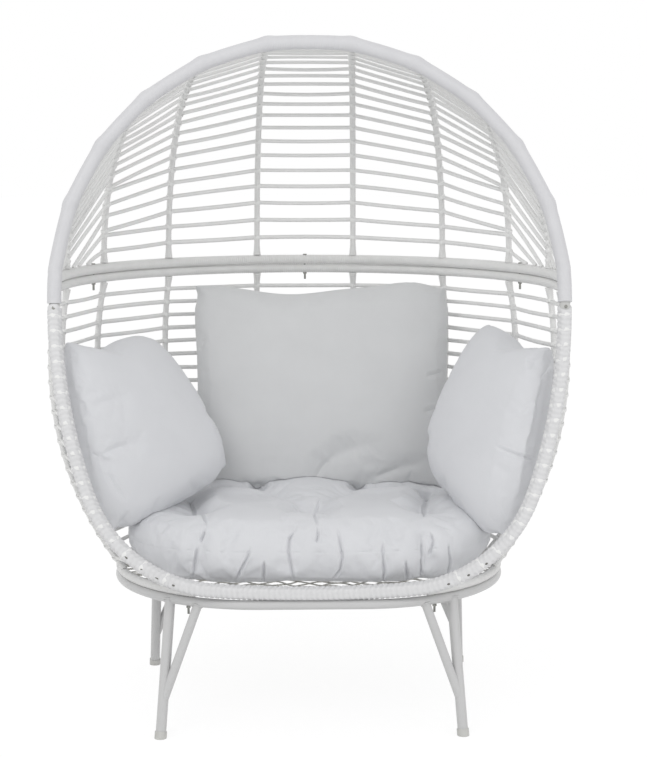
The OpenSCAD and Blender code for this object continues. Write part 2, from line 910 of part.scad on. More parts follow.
// Tufts, as shares of the seat's half width and half depth
tuft_depth = 26;
tuft_r = 42;
tufts = [[0, -0.35], [-0.62, -0.37], [0.62, -0.37], [-0.72, 0.53], [0.72, 0.53],
    [-0.3, 0.9], [0.3, 0.9]];

// How far out a point of the seat lies, 1 at its edge
function seat_rho(x, y) =
    let(e = y < seat_mid_y ? front_power : back_power)
    pow(pow(abs(x) / seat_half_w, e) + pow(abs(y - seat_mid_y) * 2 / seat_depth, e), 1 / e);

function tuft_dip(x, y) =
    tuft_depth * max([for (t = tufts)
        exp(-pow(norm([x - t[0] * seat_half_w, y - seat_mid_y - t[1] * seat_depth / 2])
            / tuft_r, 2))]);

// Height of the seat's crown, without and with its tufts
function seat_crown_z(x, y) =
    seat_edge_z + (seat_crown + seat_bottom_z - seat_edge_z)
        * sqrt(1 - pow(min(1, seat_rho(x, y)), 4));
function seat_top_z(x, y) = seat_crown_z(x, y) - tuft_dip(x, y);

// A point of the seat's outline at the angle a, at the share k of its size
function seat_outline(a, k) =
    let(
        e = sin(a) < 0 ? front_power : back_power,
        r = 1 / pow(pow(abs(cos(a)), e) + pow(abs(sin(a)), e), 1 / e)
    )
    [seat_half_w * r * cos(a) * k, seat_mid_y + seat_depth / 2 * r * sin(a) * k];

// A ring of the seat's outline at the height z, lifted towards the front
function seat_ring(k, z, lift = 0) = [for (i = [0:seat_spokes - 1])
    let(a = 360 * i / seat_spokes)
    concat(seat_outline(a, k), z + lift * pow(max(0, -sin(a)), 2))];

module seat_cushion() {
    n = seat_spokes;
    top_rings = [for (j = [1:seat_rings])
        [for (i = [0:n - 1])
            let(p = seat_outline(360 * i / n, top_share * pow(j / seat_rings, top_power)))
            [p[0], p[1], seat_top_z(p[0], p[1])]]];
    rings = concat(
        top_rings,
        [seat_ring(1, seat_edge_z - edge_drop)],
        [seat_ring(seam_share, seat_seam_z)],
        [seat_ring(under_share, seat_under_z)],
        [seat_ring(swell_share, seat_bottom_z + swell_rise, front_lift)],
        [seat_ring(roll_share, seat_bottom_z, roll_lift)],
        [seat_ring(bottom_share, seat_bottom_z)]
    );
    m = len(rings);
    last = 1 + m * n;
    points = concat(
        [[0, seat_mid_y, seat_top_z(0, seat_mid_y)]],
        [for (ring = rings) each ring],
        [[0, seat_mid_y, seat_bottom_z]]
    );
    faces = concat(
        [for (i = [0:n - 1]) [0, 1 + (i + 1) % n, 1 + i]],
        [for (j = [0:m - 2], i = [0:n - 1])
            each quad(1 + j * n + i, 1 + j * n + (i + 1) % n,
                1 + (j + 1) * n + (i + 1) % n, 1 + (j + 1) * n + i)],
        [for (i = [0:n - 1]) [last, last - n + i, last - n + (i + 1) % n]]
    );
    color("white") placed() polyhedron(points, faces);
}

function quad(a, b, c, d) = [[a, b, d], [b, c, d]];

// A loose cushion's swell, and how it rests on the seat
seam_t = 4;
swell = 0.38;
rest_gap = 0.6;
back_fields = 20;
side_fields = 16;

// A point of a cushion's middle surface, from its four corners; the edges
// bow in by the shares in bow, or out where a share is below 0
function pillow_middle(c, bow, u, v) =
    let(
        x = u * (1 - (u < 0 ? bow[0] : bow[1]) * (1 - v * v)),
        y = v * (1 - (v < 0 ? bow[2] : bow[3]) * (1 - u * u))
    )
    ((1 - x) * (1 - y) * c[0] + (1 + x) * (1 - y) * c[1]
        + (1 + x) * (1 + y) * c[2] + (1 - x) * (1 + y) * c[3]) / 4;

function pillow_point(c, t, bow, out, side, u, v) =
    pillow_middle(c, bow, u, v)
    + out * side * (seam_t / 2 + (t - seam_t) / 2 * pow((1 - u * u) * (1 - v * v), swell));

// A sewn cushion of n by n fields a side; c holds its low front, low back,
// high back and high front corners
module pillow(c, t, n, bow) {
    out = unit(cross(c[1] + c[2] - c[0] - c[3], c[2] + c[3] - c[0] - c[1]));
    points = [for (side = [1, -1], j = [0:n], i = [0:n])
        let(q = pillow_point(c, t, bow, out, side,
            sin(90 * (2 * i / n - 1)), sin(90 * (2 * j / n - 1))))
        [q[0], q[1], max(q[2], seat_crown_z(q[0], q[1]) + rest_gap)]
    ];
    k = n + 1;
    far = k * k;
    faces = concat(
        [for (j = [0:n - 1], i = [0:n - 1])
            each quad(j * k + i, (j + 1) * k + i, (j + 1) * k + i + 1, j * k + i + 1)],
        [for (j = [0:n - 1], i = [0:n - 1])
            each quad(far + j * k + i, far + j * k + i + 1,
                far + (j + 1) * k + i + 1, far + (j + 1) * k + i)],
        [for (i = [0:n - 1]) each quad(i, i + 1, far + i + 1, far + i)],
        [for (i = [0:n - 1])
            each quad(n * k + i + 1, n * k + i, far + n * k + i, far + n * k + i + 1)],
        [for (j = [0:n - 1]) each quad((j + 1) * k, j * k, far + j * k, far + (j + 1) * k)],
        [for (j = [0:n - 1])
            each quad(j * k + n, (j + 1) * k + n, far + (j + 1) * k + n, far + j * k + n)]
    );
    polyhedron(points, faces);
}

function unit(v) = v / norm(v);

back_lean = 16;
back_mid = [36, 508, 668];
back_taper = 0.96;
back_bow = [0.02, 0.02, 0, 0.04];

module back_cushion() {
    across = [back_w / 2, 0, 0];
    up = back_l / 2 * [0, sin(back_lean), cos(back_lean)];
    color("gainsboro") placed() pillow([
        back_mid - across * back_taper - up,
        back_mid + across * back_taper - up,
        back_mid + across + up,
        back_mid - across + up
    ], back_t, back_fields, back_bow);
}

// Where the slumped side cushions lie, and their corners as shares of their
// width: low front, low back, high back, high front
side_bow = [-0.15, -0.04, -0.06, 0.02];
left_mid = [-369, 261, 635];
left_corners = [[-0.15, -0.42, -0.6], [0.53, 0.25, -0.33], [0.01, 0.55, 0.41],
    [-0.4, -0.31, 0.47]];
right_mid = [-397, 246, 636];
right_corners = [[-0.03, -0.46, -0.66], [0.38, 0.23, -0.28], [-0.04, 0.51, 0.49],
    [-0.31, -0.27, 0.43]];

module left_cushion() {
    color("white") placed()
        pillow([for (c = left_corners) left_mid + side_w * c], side_t, side_fields, side_bow);
}

module right_cushion() {
    color("white") placed() mirror([1, 0, 0])
        pillow([for (c = right_corners) right_mid + side_w * c], side_t, side_fields,
            side_bow);
}

base_ring();
front_left_leg();
front_right_leg();
rear_left_leg();
rear_right_leg();
front_left_brace();
front_right_brace();
rear_left_brace();
rear_right_brace();
foot_caps();
base_bolts();
base_nuts();
floor_ring_tube();
floor_ring_wrap();
seat_net();
basket_rim_tube();
basket_rim_wrap();
basket_top_tube();
basket_top_wrap();
basket_rib_rods();
basket_left_rib_wraps();
basket_right_rib_wraps();
basket_back_cords();
basket_left_cords();
basket_right_cords();
rim_spigots();
rim_screws();
split_bolts();
split_nuts();
hood_rim_tube();
hood_rim_wrap();
hood_base_tube();
hood_base_wrap();
hood_rib_rods();
hood_left_rib_wraps();
hood_right_rib_wraps();
hood_back_cords();
hood_left_cords();
hood_right_cords();
seat_cushion();
back_cushion();
left_cushion();
right_cushion();
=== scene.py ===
"""The finished look of a free-standing egg chair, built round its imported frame.

The egg is a hood and a basket of flat synthetic cane, wound row by row over steel
ribs. It stands on a powder-coated ring with four legs and holds four loose
cushions. Everything is in metres, +Z up, and the chair faces -Y.
"""

import json
import logging
import math
from abc import ABC, abstractmethod
from dataclasses import dataclass, field
from enum import Enum

import bpy
import numpy as np
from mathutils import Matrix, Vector
from mathutils.bvhtree import BVHTree

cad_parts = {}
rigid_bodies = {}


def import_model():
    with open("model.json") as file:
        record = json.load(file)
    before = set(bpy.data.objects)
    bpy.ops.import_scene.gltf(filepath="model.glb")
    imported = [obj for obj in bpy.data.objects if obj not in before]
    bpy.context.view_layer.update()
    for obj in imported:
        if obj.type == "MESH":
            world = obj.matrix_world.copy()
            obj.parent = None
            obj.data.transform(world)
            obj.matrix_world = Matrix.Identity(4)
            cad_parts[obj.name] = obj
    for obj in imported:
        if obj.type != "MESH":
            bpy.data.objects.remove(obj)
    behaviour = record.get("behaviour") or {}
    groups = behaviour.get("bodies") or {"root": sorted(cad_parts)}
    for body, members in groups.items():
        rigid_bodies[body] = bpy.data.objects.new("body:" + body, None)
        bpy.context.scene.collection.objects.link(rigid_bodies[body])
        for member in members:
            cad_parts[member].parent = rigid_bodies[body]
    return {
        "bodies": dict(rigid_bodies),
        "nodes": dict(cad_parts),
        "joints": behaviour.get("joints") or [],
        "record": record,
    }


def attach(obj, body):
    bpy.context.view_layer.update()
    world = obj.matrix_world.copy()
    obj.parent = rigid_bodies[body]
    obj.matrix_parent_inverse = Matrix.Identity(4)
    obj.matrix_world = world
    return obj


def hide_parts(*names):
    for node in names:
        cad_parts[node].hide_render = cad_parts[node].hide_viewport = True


BODY = "root"
TAU = 2 * math.pi
# The middle of the room in the egg, towards which the cushions swell
SITTER = (0.0, -0.10, 0.80)

# How far apart the points of a wound tube's route lie
ROUTE_STEP = 0.006

Piece = bpy.types.Object
Nodes = dict[str, Piece]
Point = np.ndarray
# Points, one to a row
Rows = np.ndarray
Triple = tuple[float, float, float]
Triples = tuple[Triple, ...]
Pairs = tuple[tuple[float, float], ...]
# Places that stand up or sink: x, y, reach and rise of each
Lobes = tuple[tuple[float, float, float, float], ...]

log = logging.getLogger("egg_chair")


# ---------- the plan: where tubes, ribs and strands run ----------


def unit(v: Point) -> Point:
    """Returns v at length one."""
    return v / np.linalg.norm(v)


def sind(angle: float) -> float:
    """Returns the sine of an angle in degrees."""
    return math.sin(math.radians(angle))


def cosd(angle: float) -> float:
    """Returns the cosine of an angle in degrees."""
    return math.cos(math.radians(angle))


@dataclass(frozen=True)
class Rib:
    """An arc of steel rod in an upright plane, measured along itself from its start.

    Attributes:
        centre: middle of the arc.
        azimuth: direction in which the arc bulges, in degrees from +X.
        radius: radius of the arc.
        start: angle of its first point above the level, in degrees.
        end: angle of its last point.
    """

    centre: Point
    azimuth: float
    radius: float
    start: float
    end: float

    def length(self) -> float:
        """Returns the rib's length along its arc."""
        return math.radians(abs(self.end - self.start)) * self.radius

    def angle(self, t: float) -> float:
        """Returns the arc's angle at the length t, in degrees."""
        return self.start + math.copysign(math.degrees(t / self.radius), self.end - self.start)

    def out(self, t: float) -> Point:
        """Returns the outward direction at the length t."""
        a = self.angle(t)
        return np.array([cosd(a) * cosd(self.azimuth), cosd(a) * sind(self.azimuth), sind(a)])

    def way(self, t: float) -> Point:
        """Returns the direction of the rod at the length t, pointing up."""
        a = self.angle(t)
        return np.array([-sind(a) * cosd(self.azimuth), -sind(a) * sind(self.azimuth), cosd(a)])

    def point(self, t: float) -> Point:
        """Returns the rod's middle at the length t."""
        return self.centre + self.radius * self.out(t)


@dataclass(frozen=True)
class Hold:
    """A place where a strand is tied to what carries it.

    Attributes:
        at: the place, on the carrier's middle.
        way: direction of the carrier.
        out: outward direction.
        d: diameter of the carrier.
    """

    at: Point
    way: Point
    out: Point
    d: float


@dataclass(frozen=True)
class Strand:
    """A straight strand between two carriers.

    Attributes:
        p: start, on the first carrier's middle.
        q: end, on the second carrier's middle.
        out_p: outward direction at the start.
        out_q: outward direction at the end.
        cut_p: how far from p the strand leaves its carrier.
        cut_q: how far from q it meets the other.
    """

    p: Point
    q: Point
    out_p: Point
    out_q: Point
    cut_p: float
    cut_q: float


@dataclass(frozen=True)
class Crossing:
    """A place where a row of cane is wound once round what carries it."""

    at: Point
    way: Point
    out: Point
    radius: float
    tilt: float


@dataclass
class EggPlan:
    """Sizes of the egg and the routes worked out from them."""

    opening_r: float = 0.530
    rim_tilt: float = 11.0
    egg_depth: float = 0.600
    basket_h: float = 0.639
    split_gap: float = 0.003
    round_drop: float = 0.016
    hood_wrap_d: float = 0.030
    basket_wrap_d: float = 0.026
    rim_sleeve: float = 0.022
    rim_corner_r: float = 0.296
    rim_side_turn: float = 20.0
    rim_front_turn: float = 4.0
    hood_base_wrap_d: float = 0.020
    basket_top_wrap_d: float = 0.017
    rib_d: float = 0.013
    cord_d: float = 0.008
    hood_rows: int = 21
    basket_rows: int = 19
    flare: float = 12.0
    base_h: float = 0.272
    ring_d: float = 0.020
    floor_wrap_d: float = 0.018
    ring_half_w: float = 0.417
    ring_depth: float = 0.544
    ring_front_r: float = 0.310
    ring_back_r: float = 0.215
    seat_gap: float = 0.0003
    rod_fit: float = 0.0002
    edge_fall: float = 0.012
    ring_end_turn: float = 3.5
    split_rows: int = 3
    side_rows: int = 2
    rib_four_rows: int = 8
    row_pairs: tuple[int, int] = (2, 6)
    pair_spare: float = 0.002
    split_row_from: float = 68.6
    split_row_step: float = 3.1
    side_row_from: float = 84.0
    side_row_step: float = 2.0
    rim_row_from: float = 86.5
    rim_row_step: float = 1.8
    hood_places: Pairs = (
        (12.5, 9.5), (37.2, 25.0), (59.6, 40.0), (80.0, 54.5), (91.3, 69.5))
    basket_places: Pairs = (
        (12.5, -0.095), (37.2, 15.0), (59.6, 46.0), (80.0, 78.0), (91.3, 108.0))
    row_bias: tuple[float, ...] = (1.3, 1.3, 1.3, 1.2, 1.0)
    middle_y: float = field(init=False)

    def __post_init__(self) -> None:
        """Works out the heights, the rim's arcs and the ribs."""
        self.ring_z = self.base_h + self.ring_d / 2
        self.floor_z = self.base_h + self.ring_d + self.seat_gap + self.floor_wrap_d / 2
        self.rim_z = self.base_h + self.ring_d + self.seat_gap + self.basket_wrap_d / 2
        self.split_z = self.base_h + self.ring_d + self.basket_h
        self.hood_tube_z = self.split_z + (self.split_gap + self.hood_base_wrap_d) / 2
        self.top_tube_z = self.split_z - (self.split_gap + self.basket_top_wrap_d) / 2
        self.hood_foot_z = self.hood_tube_z + self.hood_base_wrap_d / 2 + self.seat_gap
        self.basket_head_z = self.top_tube_z - self.basket_top_wrap_d / 2 - self.seat_gap
        self.basket_foot_z = self.floor_z + self.floor_wrap_d / 2 + self.seat_gap
        split_s = (self.split_z - self.rim_z) / cosd(self.rim_tilt)
        self.round_s = split_s - self.round_drop
        self.joint_s = self.round_s - self.rim_sleeve
        self.plan_y = split_s * sind(self.rim_tilt) + self.egg_depth - self.opening_r
        self._solve_rim()
        self.middle_y = 0.0
        back = self.basket_rib(0)
        back_y = (back.point(0)[1] + back.radius * (1 - cosd(self.flare)) * sind(back.azimuth)
                  + self.rib_d / 2)
        self.middle_y = (back_y - self.basket_wrap_d / 2) / 2

    def _solve_rim(self) -> None:
        """Works out the rim's side and front radii from its turns."""
        side, front = self.rim_side_turn, self.rim_front_turn
        left_x = self.opening_r - self.rim_corner_r * (cosd(side) - sind(front))
        left_s = self.joint_s - self.rim_corner_r * (cosd(front) - sind(side))
        share = (1 - cosd(side)) * (1 - cosd(front)) - sind(side) * sind(front)
        self.rim_side_r = (left_x * (1 - cosd(front)) - left_s * sind(front)) / share
        self.rim_front_r = (left_s * (1 - cosd(side)) - left_x * sind(side)) / share
        self.side_c = np.array([self.opening_r - self.rim_side_r, self.joint_s])
        way = np.array([cosd(side), -sind(side)])
        self.corner_c = self.side_c + (self.rim_side_r - self.rim_corner_r) * way
        self.side_end = self.side_c + self.rim_side_r * way
        self.front_c = np.array([0.0, self.rim_front_r])
        self.front_end = self.front_c + self.rim_front_r * np.array([sind(front), -cosd(front)])

    def on_rim(self, x: float, s: float) -> Point:
        """Returns a point of the rim's plane in space: x across, s up its slope."""
        return np.array([x, s * sind(self.rim_tilt) - self.middle_y,
                         self.rim_z + s * cosd(self.rim_tilt)])

    def rim_half(self, s: float) -> float:
        """Returns half the basket rim's width at the slope height s."""
        if s >= self.side_end[1]:
            return self.side_c[0] + math.sqrt(self.rim_side_r ** 2 - (s - self.side_c[1]) ** 2)
        if s >= self.front_end[1]:
            return self.corner_c[0] + math.sqrt(
                self.rim_corner_r ** 2 - (s - self.corner_c[1]) ** 2)
        return math.sqrt(max(0.0, self.rim_front_r ** 2 - (self.rim_front_r - s) ** 2))

    def basket_rim_point(self, s: float) -> Point:
        """Returns the basket rim's middle at the slope height s, on the right."""
        return self.on_rim(self.rim_half(s), s)

    def basket_rim_way(self, s: float) -> Point:
        """Returns the basket rim's direction at the slope height s."""
        step = 0.001
        return unit(self.basket_rim_point(s + step)
                    - self.basket_rim_point(max(s - step, step / 10)))

    def hood_rim_point(self, a: float) -> Point:
        """Returns the hood rim's middle at an angle from its top."""
        return self.on_rim(self.opening_r * sind(a), self.round_s + self.opening_r * cosd(a))

    def hood_rim_way(self, a: float) -> Point:
        """Returns the hood rim's direction at an angle from its top."""
        return unit(self.hood_rim_point(a + 0.1) - self.hood_rim_point(a - 0.1))

    def rim_out(self) -> Point:
        """Returns the direction square to the rim's plane, towards the front."""
        return np.array([0.0, -cosd(self.rim_tilt), sind(self.rim_tilt)])

    def split_point(self, a: float, z: float) -> Point:
        """Returns a point of the split's plan at an angle from the back."""
        if a <= 90:
            return np.array([self.opening_r * sind(a),
                             self.plan_y + self.opening_r * cosd(a) - self.middle_y, z])
        return np.array([self.opening_r,
                         self.plan_y - self.opening_r * math.radians(a - 90) - self.middle_y, z])

    def ring_point(self, a: float, z: float) -> Point:
        """Returns a point of the base ring's plan, as the ring's places are given."""
        if a < 0:
            return np.array([-a, self.ring_depth - self.middle_y, z])
        if a <= 90:
            return np.array([self.ring_half_w - self.ring_back_r * (1 - sind(a)),
                             self.ring_depth - self.ring_back_r * (1 - cosd(a)) - self.middle_y,
                             z])
        return np.array([self.ring_half_w - self.ring_front_r * (1 - sind(a)),
                         self.ring_front_r * (1 + cosd(a)) - self.middle_y, z])

    def hood_rib(self, i: int) -> Rib:
        """Returns hood rib i on the right, counted from the back."""
        place, top_place = self.hood_places[i]
        base = self.split_point(place, self.hood_foot_z)
        top = self.hood_rim_point(top_place)
        run = top[:2] - base[:2]
        h, v = float(np.linalg.norm(run)), top[2] - base[2]
        r = (h * h + v * v) / (2 * h)
        turn = 2 * math.degrees(math.atan2(h, v))
        way = run / h
        tip = np.array([way[0] * sind(turn), way[1] * sind(turn), cosd(turn)])
        lean = abs(float(tip @ self.hood_rim_way(top_place)))
        cut = (self.hood_wrap_d / 2 + self.seat_gap + self.rib_d / 2 * lean) \
            / math.sqrt(1 - lean * lean)
        centre = np.array([base[0] + way[0] * r, base[1] + way[1] * r, base[2]])
        return Rib(centre, math.degrees(math.atan2(-way[1], -way[0])), r, 0.0,
                   turn - math.degrees((cut + self.rod_fit) / r))

    def basket_rib(self, i: int) -> Rib:
        """Returns basket rib i on the right, measured down from its head."""
        place, foot_place = self.basket_places[i]
        head = self.split_point(place, self.basket_head_z)
        foot = self.ring_point(foot_place, self.basket_foot_z)
        run = head[:2] - foot[:2]
        h, v = float(np.linalg.norm(run)), head[2] - foot[2]
        half = math.degrees(math.atan2(h, v)) + self.flare
        r = math.hypot(h, v) / (2 * sind(half))
        way = run / h
        centre = np.array([head[0] - way[0] * r * cosd(self.flare),
                           head[1] - way[1] * r * cosd(self.flare),
                           head[2] - r * sind(self.flare)])
        return Rib(centre, math.degrees(math.atan2(way[1], way[0])), r, self.flare,
                   self.flare - 2 * half)

    def hood_row(self, i: int, k: float, n: int) -> float:
        """Returns the height of row k of n along hood rib i: wide steps low, close high."""
        share = 1 - (1 - k / (n + 1)) ** self.row_bias[i]
        return (self.hood_rib(i).length() - self.cord_d) * share

    def paired_row(self, k: int) -> float:
        """Returns row k's height on the third rib, where two pairs close up."""
        half = (self.cord_d + self.pair_spare) / 2
        if k in self.row_pairs:
            return self.hood_row(2, k + 0.5, self.hood_rows) - half
        if k - 1 in self.row_pairs:
            return self.hood_row(2, k - 0.5, self.hood_rows) + half
        return self.hood_row(2, k, self.hood_rows)

    def third_row(self, k: int) -> float:
        """Returns the height where row k goes on beyond the third rib, pairs as one."""
        low, high = self.row_pairs
        halves = (k >= low) + (k > low) + (k >= high - 1) + (k > high - 1)
        return self.hood_row(2, k + halves / 2, self.hood_rows)

    def fourth_rows(self) -> int:
        """Returns how many rows reach the fourth hood rib."""
        return self.hood_rows - len(self.row_pairs) - self.split_rows

    def _strand(self, a: Hold, b: Hold) -> Strand:
        """Returns a strand that leaves and meets its carriers at their skin."""
        u = unit(b.at - a.at)

        def reach(hold: Hold) -> float:
            """Returns how far along the strand its carrier reaches."""
            lean = abs(float(u @ hold.way))
            return (hold.d / 2 + self.cord_d / 2 * lean) / math.sqrt(1 - lean * lean)

        return Strand(a.at, b.at, a.out, b.out, reach(a), reach(b))

    def _on(self, a: Rib, t: float) -> Hold:
        """Returns the hold on a rib at the length t."""
        return Hold(a.point(t), a.way(t), a.out(t), self.rib_d)

    def _between(self, a: Rib, ta: float, b: Rib, tb: float) -> Strand:
        """Returns a strand between two ribs."""
        return self._strand(self._on(a, ta), self._on(b, tb))

    def _across(self, a: Rib, t: float) -> Strand:
        """Returns a strand from a rib on the right to its twin on the left."""
        right = self._on(a, t)
        flip = np.array([-1.0, 1.0, 1.0])
        left = Hold(right.at * flip, right.way * flip, right.out * flip, right.d)
        return self._strand(left, right)

    def hood_back(self) -> list[Strand]:
        """Returns the hood's strands across the middle of its back."""
        a = self.hood_rib(0)
        return [self._across(a, self.hood_row(0, k, self.hood_rows))
                for k in range(1, self.hood_rows + 1)]

    def basket_back(self) -> list[Strand]:
        """Returns the basket's strands across the middle of its back."""
        a = self.basket_rib(0)
        return [self._across(a, self.basket_row(a, k)) for k in range(1, self.basket_rows + 1)]

    def hood_side(self) -> list[Strand]:
        """Returns the hood's strands on the right, panel by panel."""
        ribs = [self.hood_rib(i) for i in range(len(self.hood_places))]
        rows, fourth, last = self.hood_rows, self.fourth_rows(), self.rib_four_rows
        made = [self._between(ribs[0], self.hood_row(0, k, rows),
                              ribs[1], self.hood_row(1, k, rows)) for k in range(1, rows + 1)]
        made += [self._between(ribs[1], self.hood_row(1, k, rows),
                               ribs[2], self.paired_row(k)) for k in range(1, rows + 1)]
        made += [self._to_split(ribs[2], self.third_row(k),
                                self.split_row_from + self.split_row_step * k)
                 for k in range(1, self.split_rows + 1)]
        made += [self._between(ribs[2], self.third_row(k + self.split_rows),
                               ribs[3], self.hood_row(3, k, fourth))
                 for k in range(1, fourth + 1)]
        made += [self._to_split(ribs[3], self.hood_row(3, k, fourth),
                                self.side_row_from + self.side_row_step * k)
                 for k in range(1, self.side_rows + 1)]
        made += [self._between(ribs[3], self.hood_row(3, k + self.side_rows, fourth),
                               ribs[4], self.hood_row(4, k, last)) for k in range(1, last + 1)]
        made += [self._to_hood_rim(ribs[4], self.hood_row(4, k, last),
                                   self.rim_row_from - self.rim_row_step * k)
                 for k in range(1, last + 1)]
        return [s for s in made if self._clear(s)]

    def _clear(self, s: Strand) -> bool:
        """Tells whether a strand is long enough to show between its carriers."""
        return float(np.linalg.norm(s.q - s.p)) - s.cut_p - s.cut_q > self.cord_d

    def _to_split(self, a: Rib, t: float, place: float) -> Strand:
        """Returns a strand from a hood rib down to the hood's level tube."""
        way = np.array([cosd(place), -sind(place), 0.0])
        out = np.array([sind(place), cosd(place), 0.0])
        return self._strand(self._on(a, t), Hold(self.split_point(place, self.hood_tube_z),
                                                 way, out, self.hood_base_wrap_d))

    def _to_hood_rim(self, a: Rib, t: float, place: float) -> Strand:
        """Returns a strand from a hood rib to the hood's rim."""
        return self._strand(self._on(a, t), Hold(self.hood_rim_point(place),
                                                 self.hood_rim_way(place), a.out(t),
                                                 self.hood_wrap_d))

    def basket_side(self) -> list[Strand]:
        """Returns the basket's strands on the right, panel by panel."""
        ribs = [self.basket_rib(i) for i in range(len(self.basket_places))]
        rows = range(1, self.basket_rows + 1)
        made = [self._between(a, self.basket_row(a, k), b, self.basket_row(b, k))
                for a, b in zip(ribs, ribs[1:]) for k in rows]
        a = ribs[-1]
        for k in rows:
            s, start = self.edge_place(k), self._on(a, self.basket_row(a, k))
            made.append(self._strand(start, Hold(self.basket_rim_point(s), self.basket_rim_way(s),
                                                 start.out, self.basket_wrap_d)))
        return [s for s in made if self._clear(s)]

    def basket_row(self, a: Rib, k: int) -> float:
        """Returns the height of row k along a basket rib."""
        return a.length() * k / (self.basket_rows + 1)

    def edge_place(self, k: int) -> float:
        """Returns where on the rim's slope the basket's row k ends."""
        a = self.basket_rib(len(self.basket_places) - 1)
        z = a.point(self.basket_row(a, k))[2] - self.edge_fall * (1 - k / self.basket_rows)
        return min((z - self.rim_z) / cosd(self.rim_tilt), self.joint_s)


# ---------- finishes ----------


def linear(hex_colour: str) -> tuple[float, float, float, float]:
    """Turns an sRGB hex colour into linear light.

    Args:
        hex_colour: the colour as rrggbb.

    Returns:
        Red, green, blue and an alpha of one.
    """
    parts = [int(hex_colour[i:i + 2], 16) / 255 for i in (0, 2, 4)]
    lit = [c / 12.92 if c <= 0.04045 else ((c + 0.055) / 1.055) ** 2.4 for c in parts]
    return (lit[0], lit[1], lit[2], 1.0)


def add(tree: bpy.types.NodeTree, kind: str, settings: dict | None = None,
        links: dict | None = None) -> bpy.types.Node:
    """Adds a node with its settings and links.

    Args:
        tree: the tree that gets the node.
        kind: the node's type.
        settings: values for its properties or its input sockets, by name.
        links: output sockets to join to its inputs, by the input's name or number.

    Returns:
        The new node.
    """
    made = tree.nodes.new(kind)
    for name, value in (settings or {}).items():
        if hasattr(made, name):
            setattr(made, name, value)
        else:
            made.inputs[name].default_value = value
    for name, source in (links or {}).items():
        tree.links.new(source, made.inputs[name])
    return made


def bare_tree(owner: bpy.types.ID) -> bpy.types.NodeTree:
    """Returns the emptied node tree of a material or world."""
    owner.use_nodes = True
    owner.node_tree.nodes.clear()
    return owner.node_tree


class Weave(Enum):
    """What the surface's fine relief is."""

    GRAIN = "grain"
    GROOVES = "grooves"
    CLOTH = "cloth"


@dataclass(frozen=True)
class Finish:
    """A procedural material.

    Attributes:
        name: what the material is and how its surface was made.
        colour: its colour as sRGB hex.
        shade: the darker colour it wanders to, as sRGB hex.
        wander: size of that wandering in metres.
        roughness: the shader's roughness.
        relief: kind of fine relief.
        spacing: spacing of the relief in metres.
        depth: depth of the relief in metres.
        metallic: the shader's metallic.
        sheen: the shader's sheen weight.
        coat: the shader's coat weight.
        ior: the shader's index of refraction.
    """

    name: str
    colour: str
    shade: str
    wander: float
    roughness: float
    relief: Weave
    spacing: float
    depth: float
    metallic: float = 0.0
    sheen: float = 0.0
    coat: float = 0.0
    ior: float = 1.5

    def material(self) -> bpy.types.Material:
        """Builds the material, or returns it if it was built before."""
        found = bpy.data.materials.get(self.name)
        if found:
            return found
        made = bpy.data.materials.new(self.name)
        tree = bare_tree(made)
        place = add(tree, "ShaderNodeTexCoord")
        cloud = add(tree, "ShaderNodeTexNoise",
                    {"Scale": 1 / self.wander, "Detail": 3.0, "Roughness": 0.6},
                    {"Vector": place.outputs["Object"]})
        tint = add(tree, "ShaderNodeMix", {"data_type": "RGBA"}, {"Factor": cloud.outputs["Fac"]})
        for socket, colour in ((6, self.shade), (7, self.colour)):
            tint.inputs[socket].default_value = linear(colour)
        bump = add(tree, "ShaderNodeBump", {"Distance": self.depth, "Strength": 1.0},
                   {"Height": self._height(tree, place)})
        shader = add(tree, "ShaderNodeBsdfPrincipled",
                     {"Roughness": self.roughness, "Metallic": self.metallic,
                      "Sheen Weight": self.sheen, "Coat Weight": self.coat, "IOR": self.ior},
                     {"Base Color": tint.outputs[2], "Normal": bump.outputs["Normal"]})
        add(tree, "ShaderNodeOutputMaterial", None, {"Surface": shader.outputs["BSDF"]})
        return made

    def _height(self, tree: bpy.types.NodeTree, place: bpy.types.Node) -> bpy.types.NodeSocket:
        """Returns the socket that carries the height of the fine relief."""
        per_metre = 1 / self.spacing
        here = place.outputs["Object"]
        if self.relief is Weave.GRAIN:
            grain = add(tree, "ShaderNodeTexNoise", {"Scale": per_metre, "Detail": 2.0},
                        {"Vector": here})
            return grain.outputs["Fac"]
        if self.relief is Weave.CLOTH:
            # Two crossed sets of threads on the drawn cloth, and a slub that breaks them up
            warp, weft = (add(tree, "ShaderNodeTexWave",
                              {"Scale": per_metre / 3, "wave_type": "BANDS",
                               "bands_direction": axis, "Distortion": 0.8, "Detail": 1.0,
                               "Detail Scale": 2.0}, {"Vector": here}) for axis in "XZ")
            both = add(tree, "ShaderNodeMath", {"operation": "MULTIPLY"},
                       {0: warp.outputs["Fac"], 1: weft.outputs["Fac"]})
            slub = add(tree, "ShaderNodeTexNoise", {"Scale": per_metre / 6, "Detail": 4.0},
                       {"Vector": here})
            mixed = add(tree, "ShaderNodeMath", {"operation": "ADD"},
                        {0: both.outputs[0], 1: slub.outputs["Fac"]})
            return mixed.outputs[0]
        # Grooves and threads follow the piece's own map: u goes round it, v along it
        turns = add(tree, "ShaderNodeUVMap", {"uv_map": "UVMap"})
        lines = add(tree, "ShaderNodeTexWave",
                    {"Scale": per_metre, "wave_type": "BANDS", "bands_direction": "X",
                     "Distortion": 0.6, "Detail": 1.0}, {"Vector": turns.outputs["UV"]})
        return lines.outputs["Fac"]


# Powder-coated steel: satin and even, with a faint orange peel about 1.5 mm across
PAINT = Finish("powder_coated_steel", "cacaca", "c3c3c3", 0.12, 0.38, Weave.GRAIN,
               0.0015, 0.00006, coat=0.15)
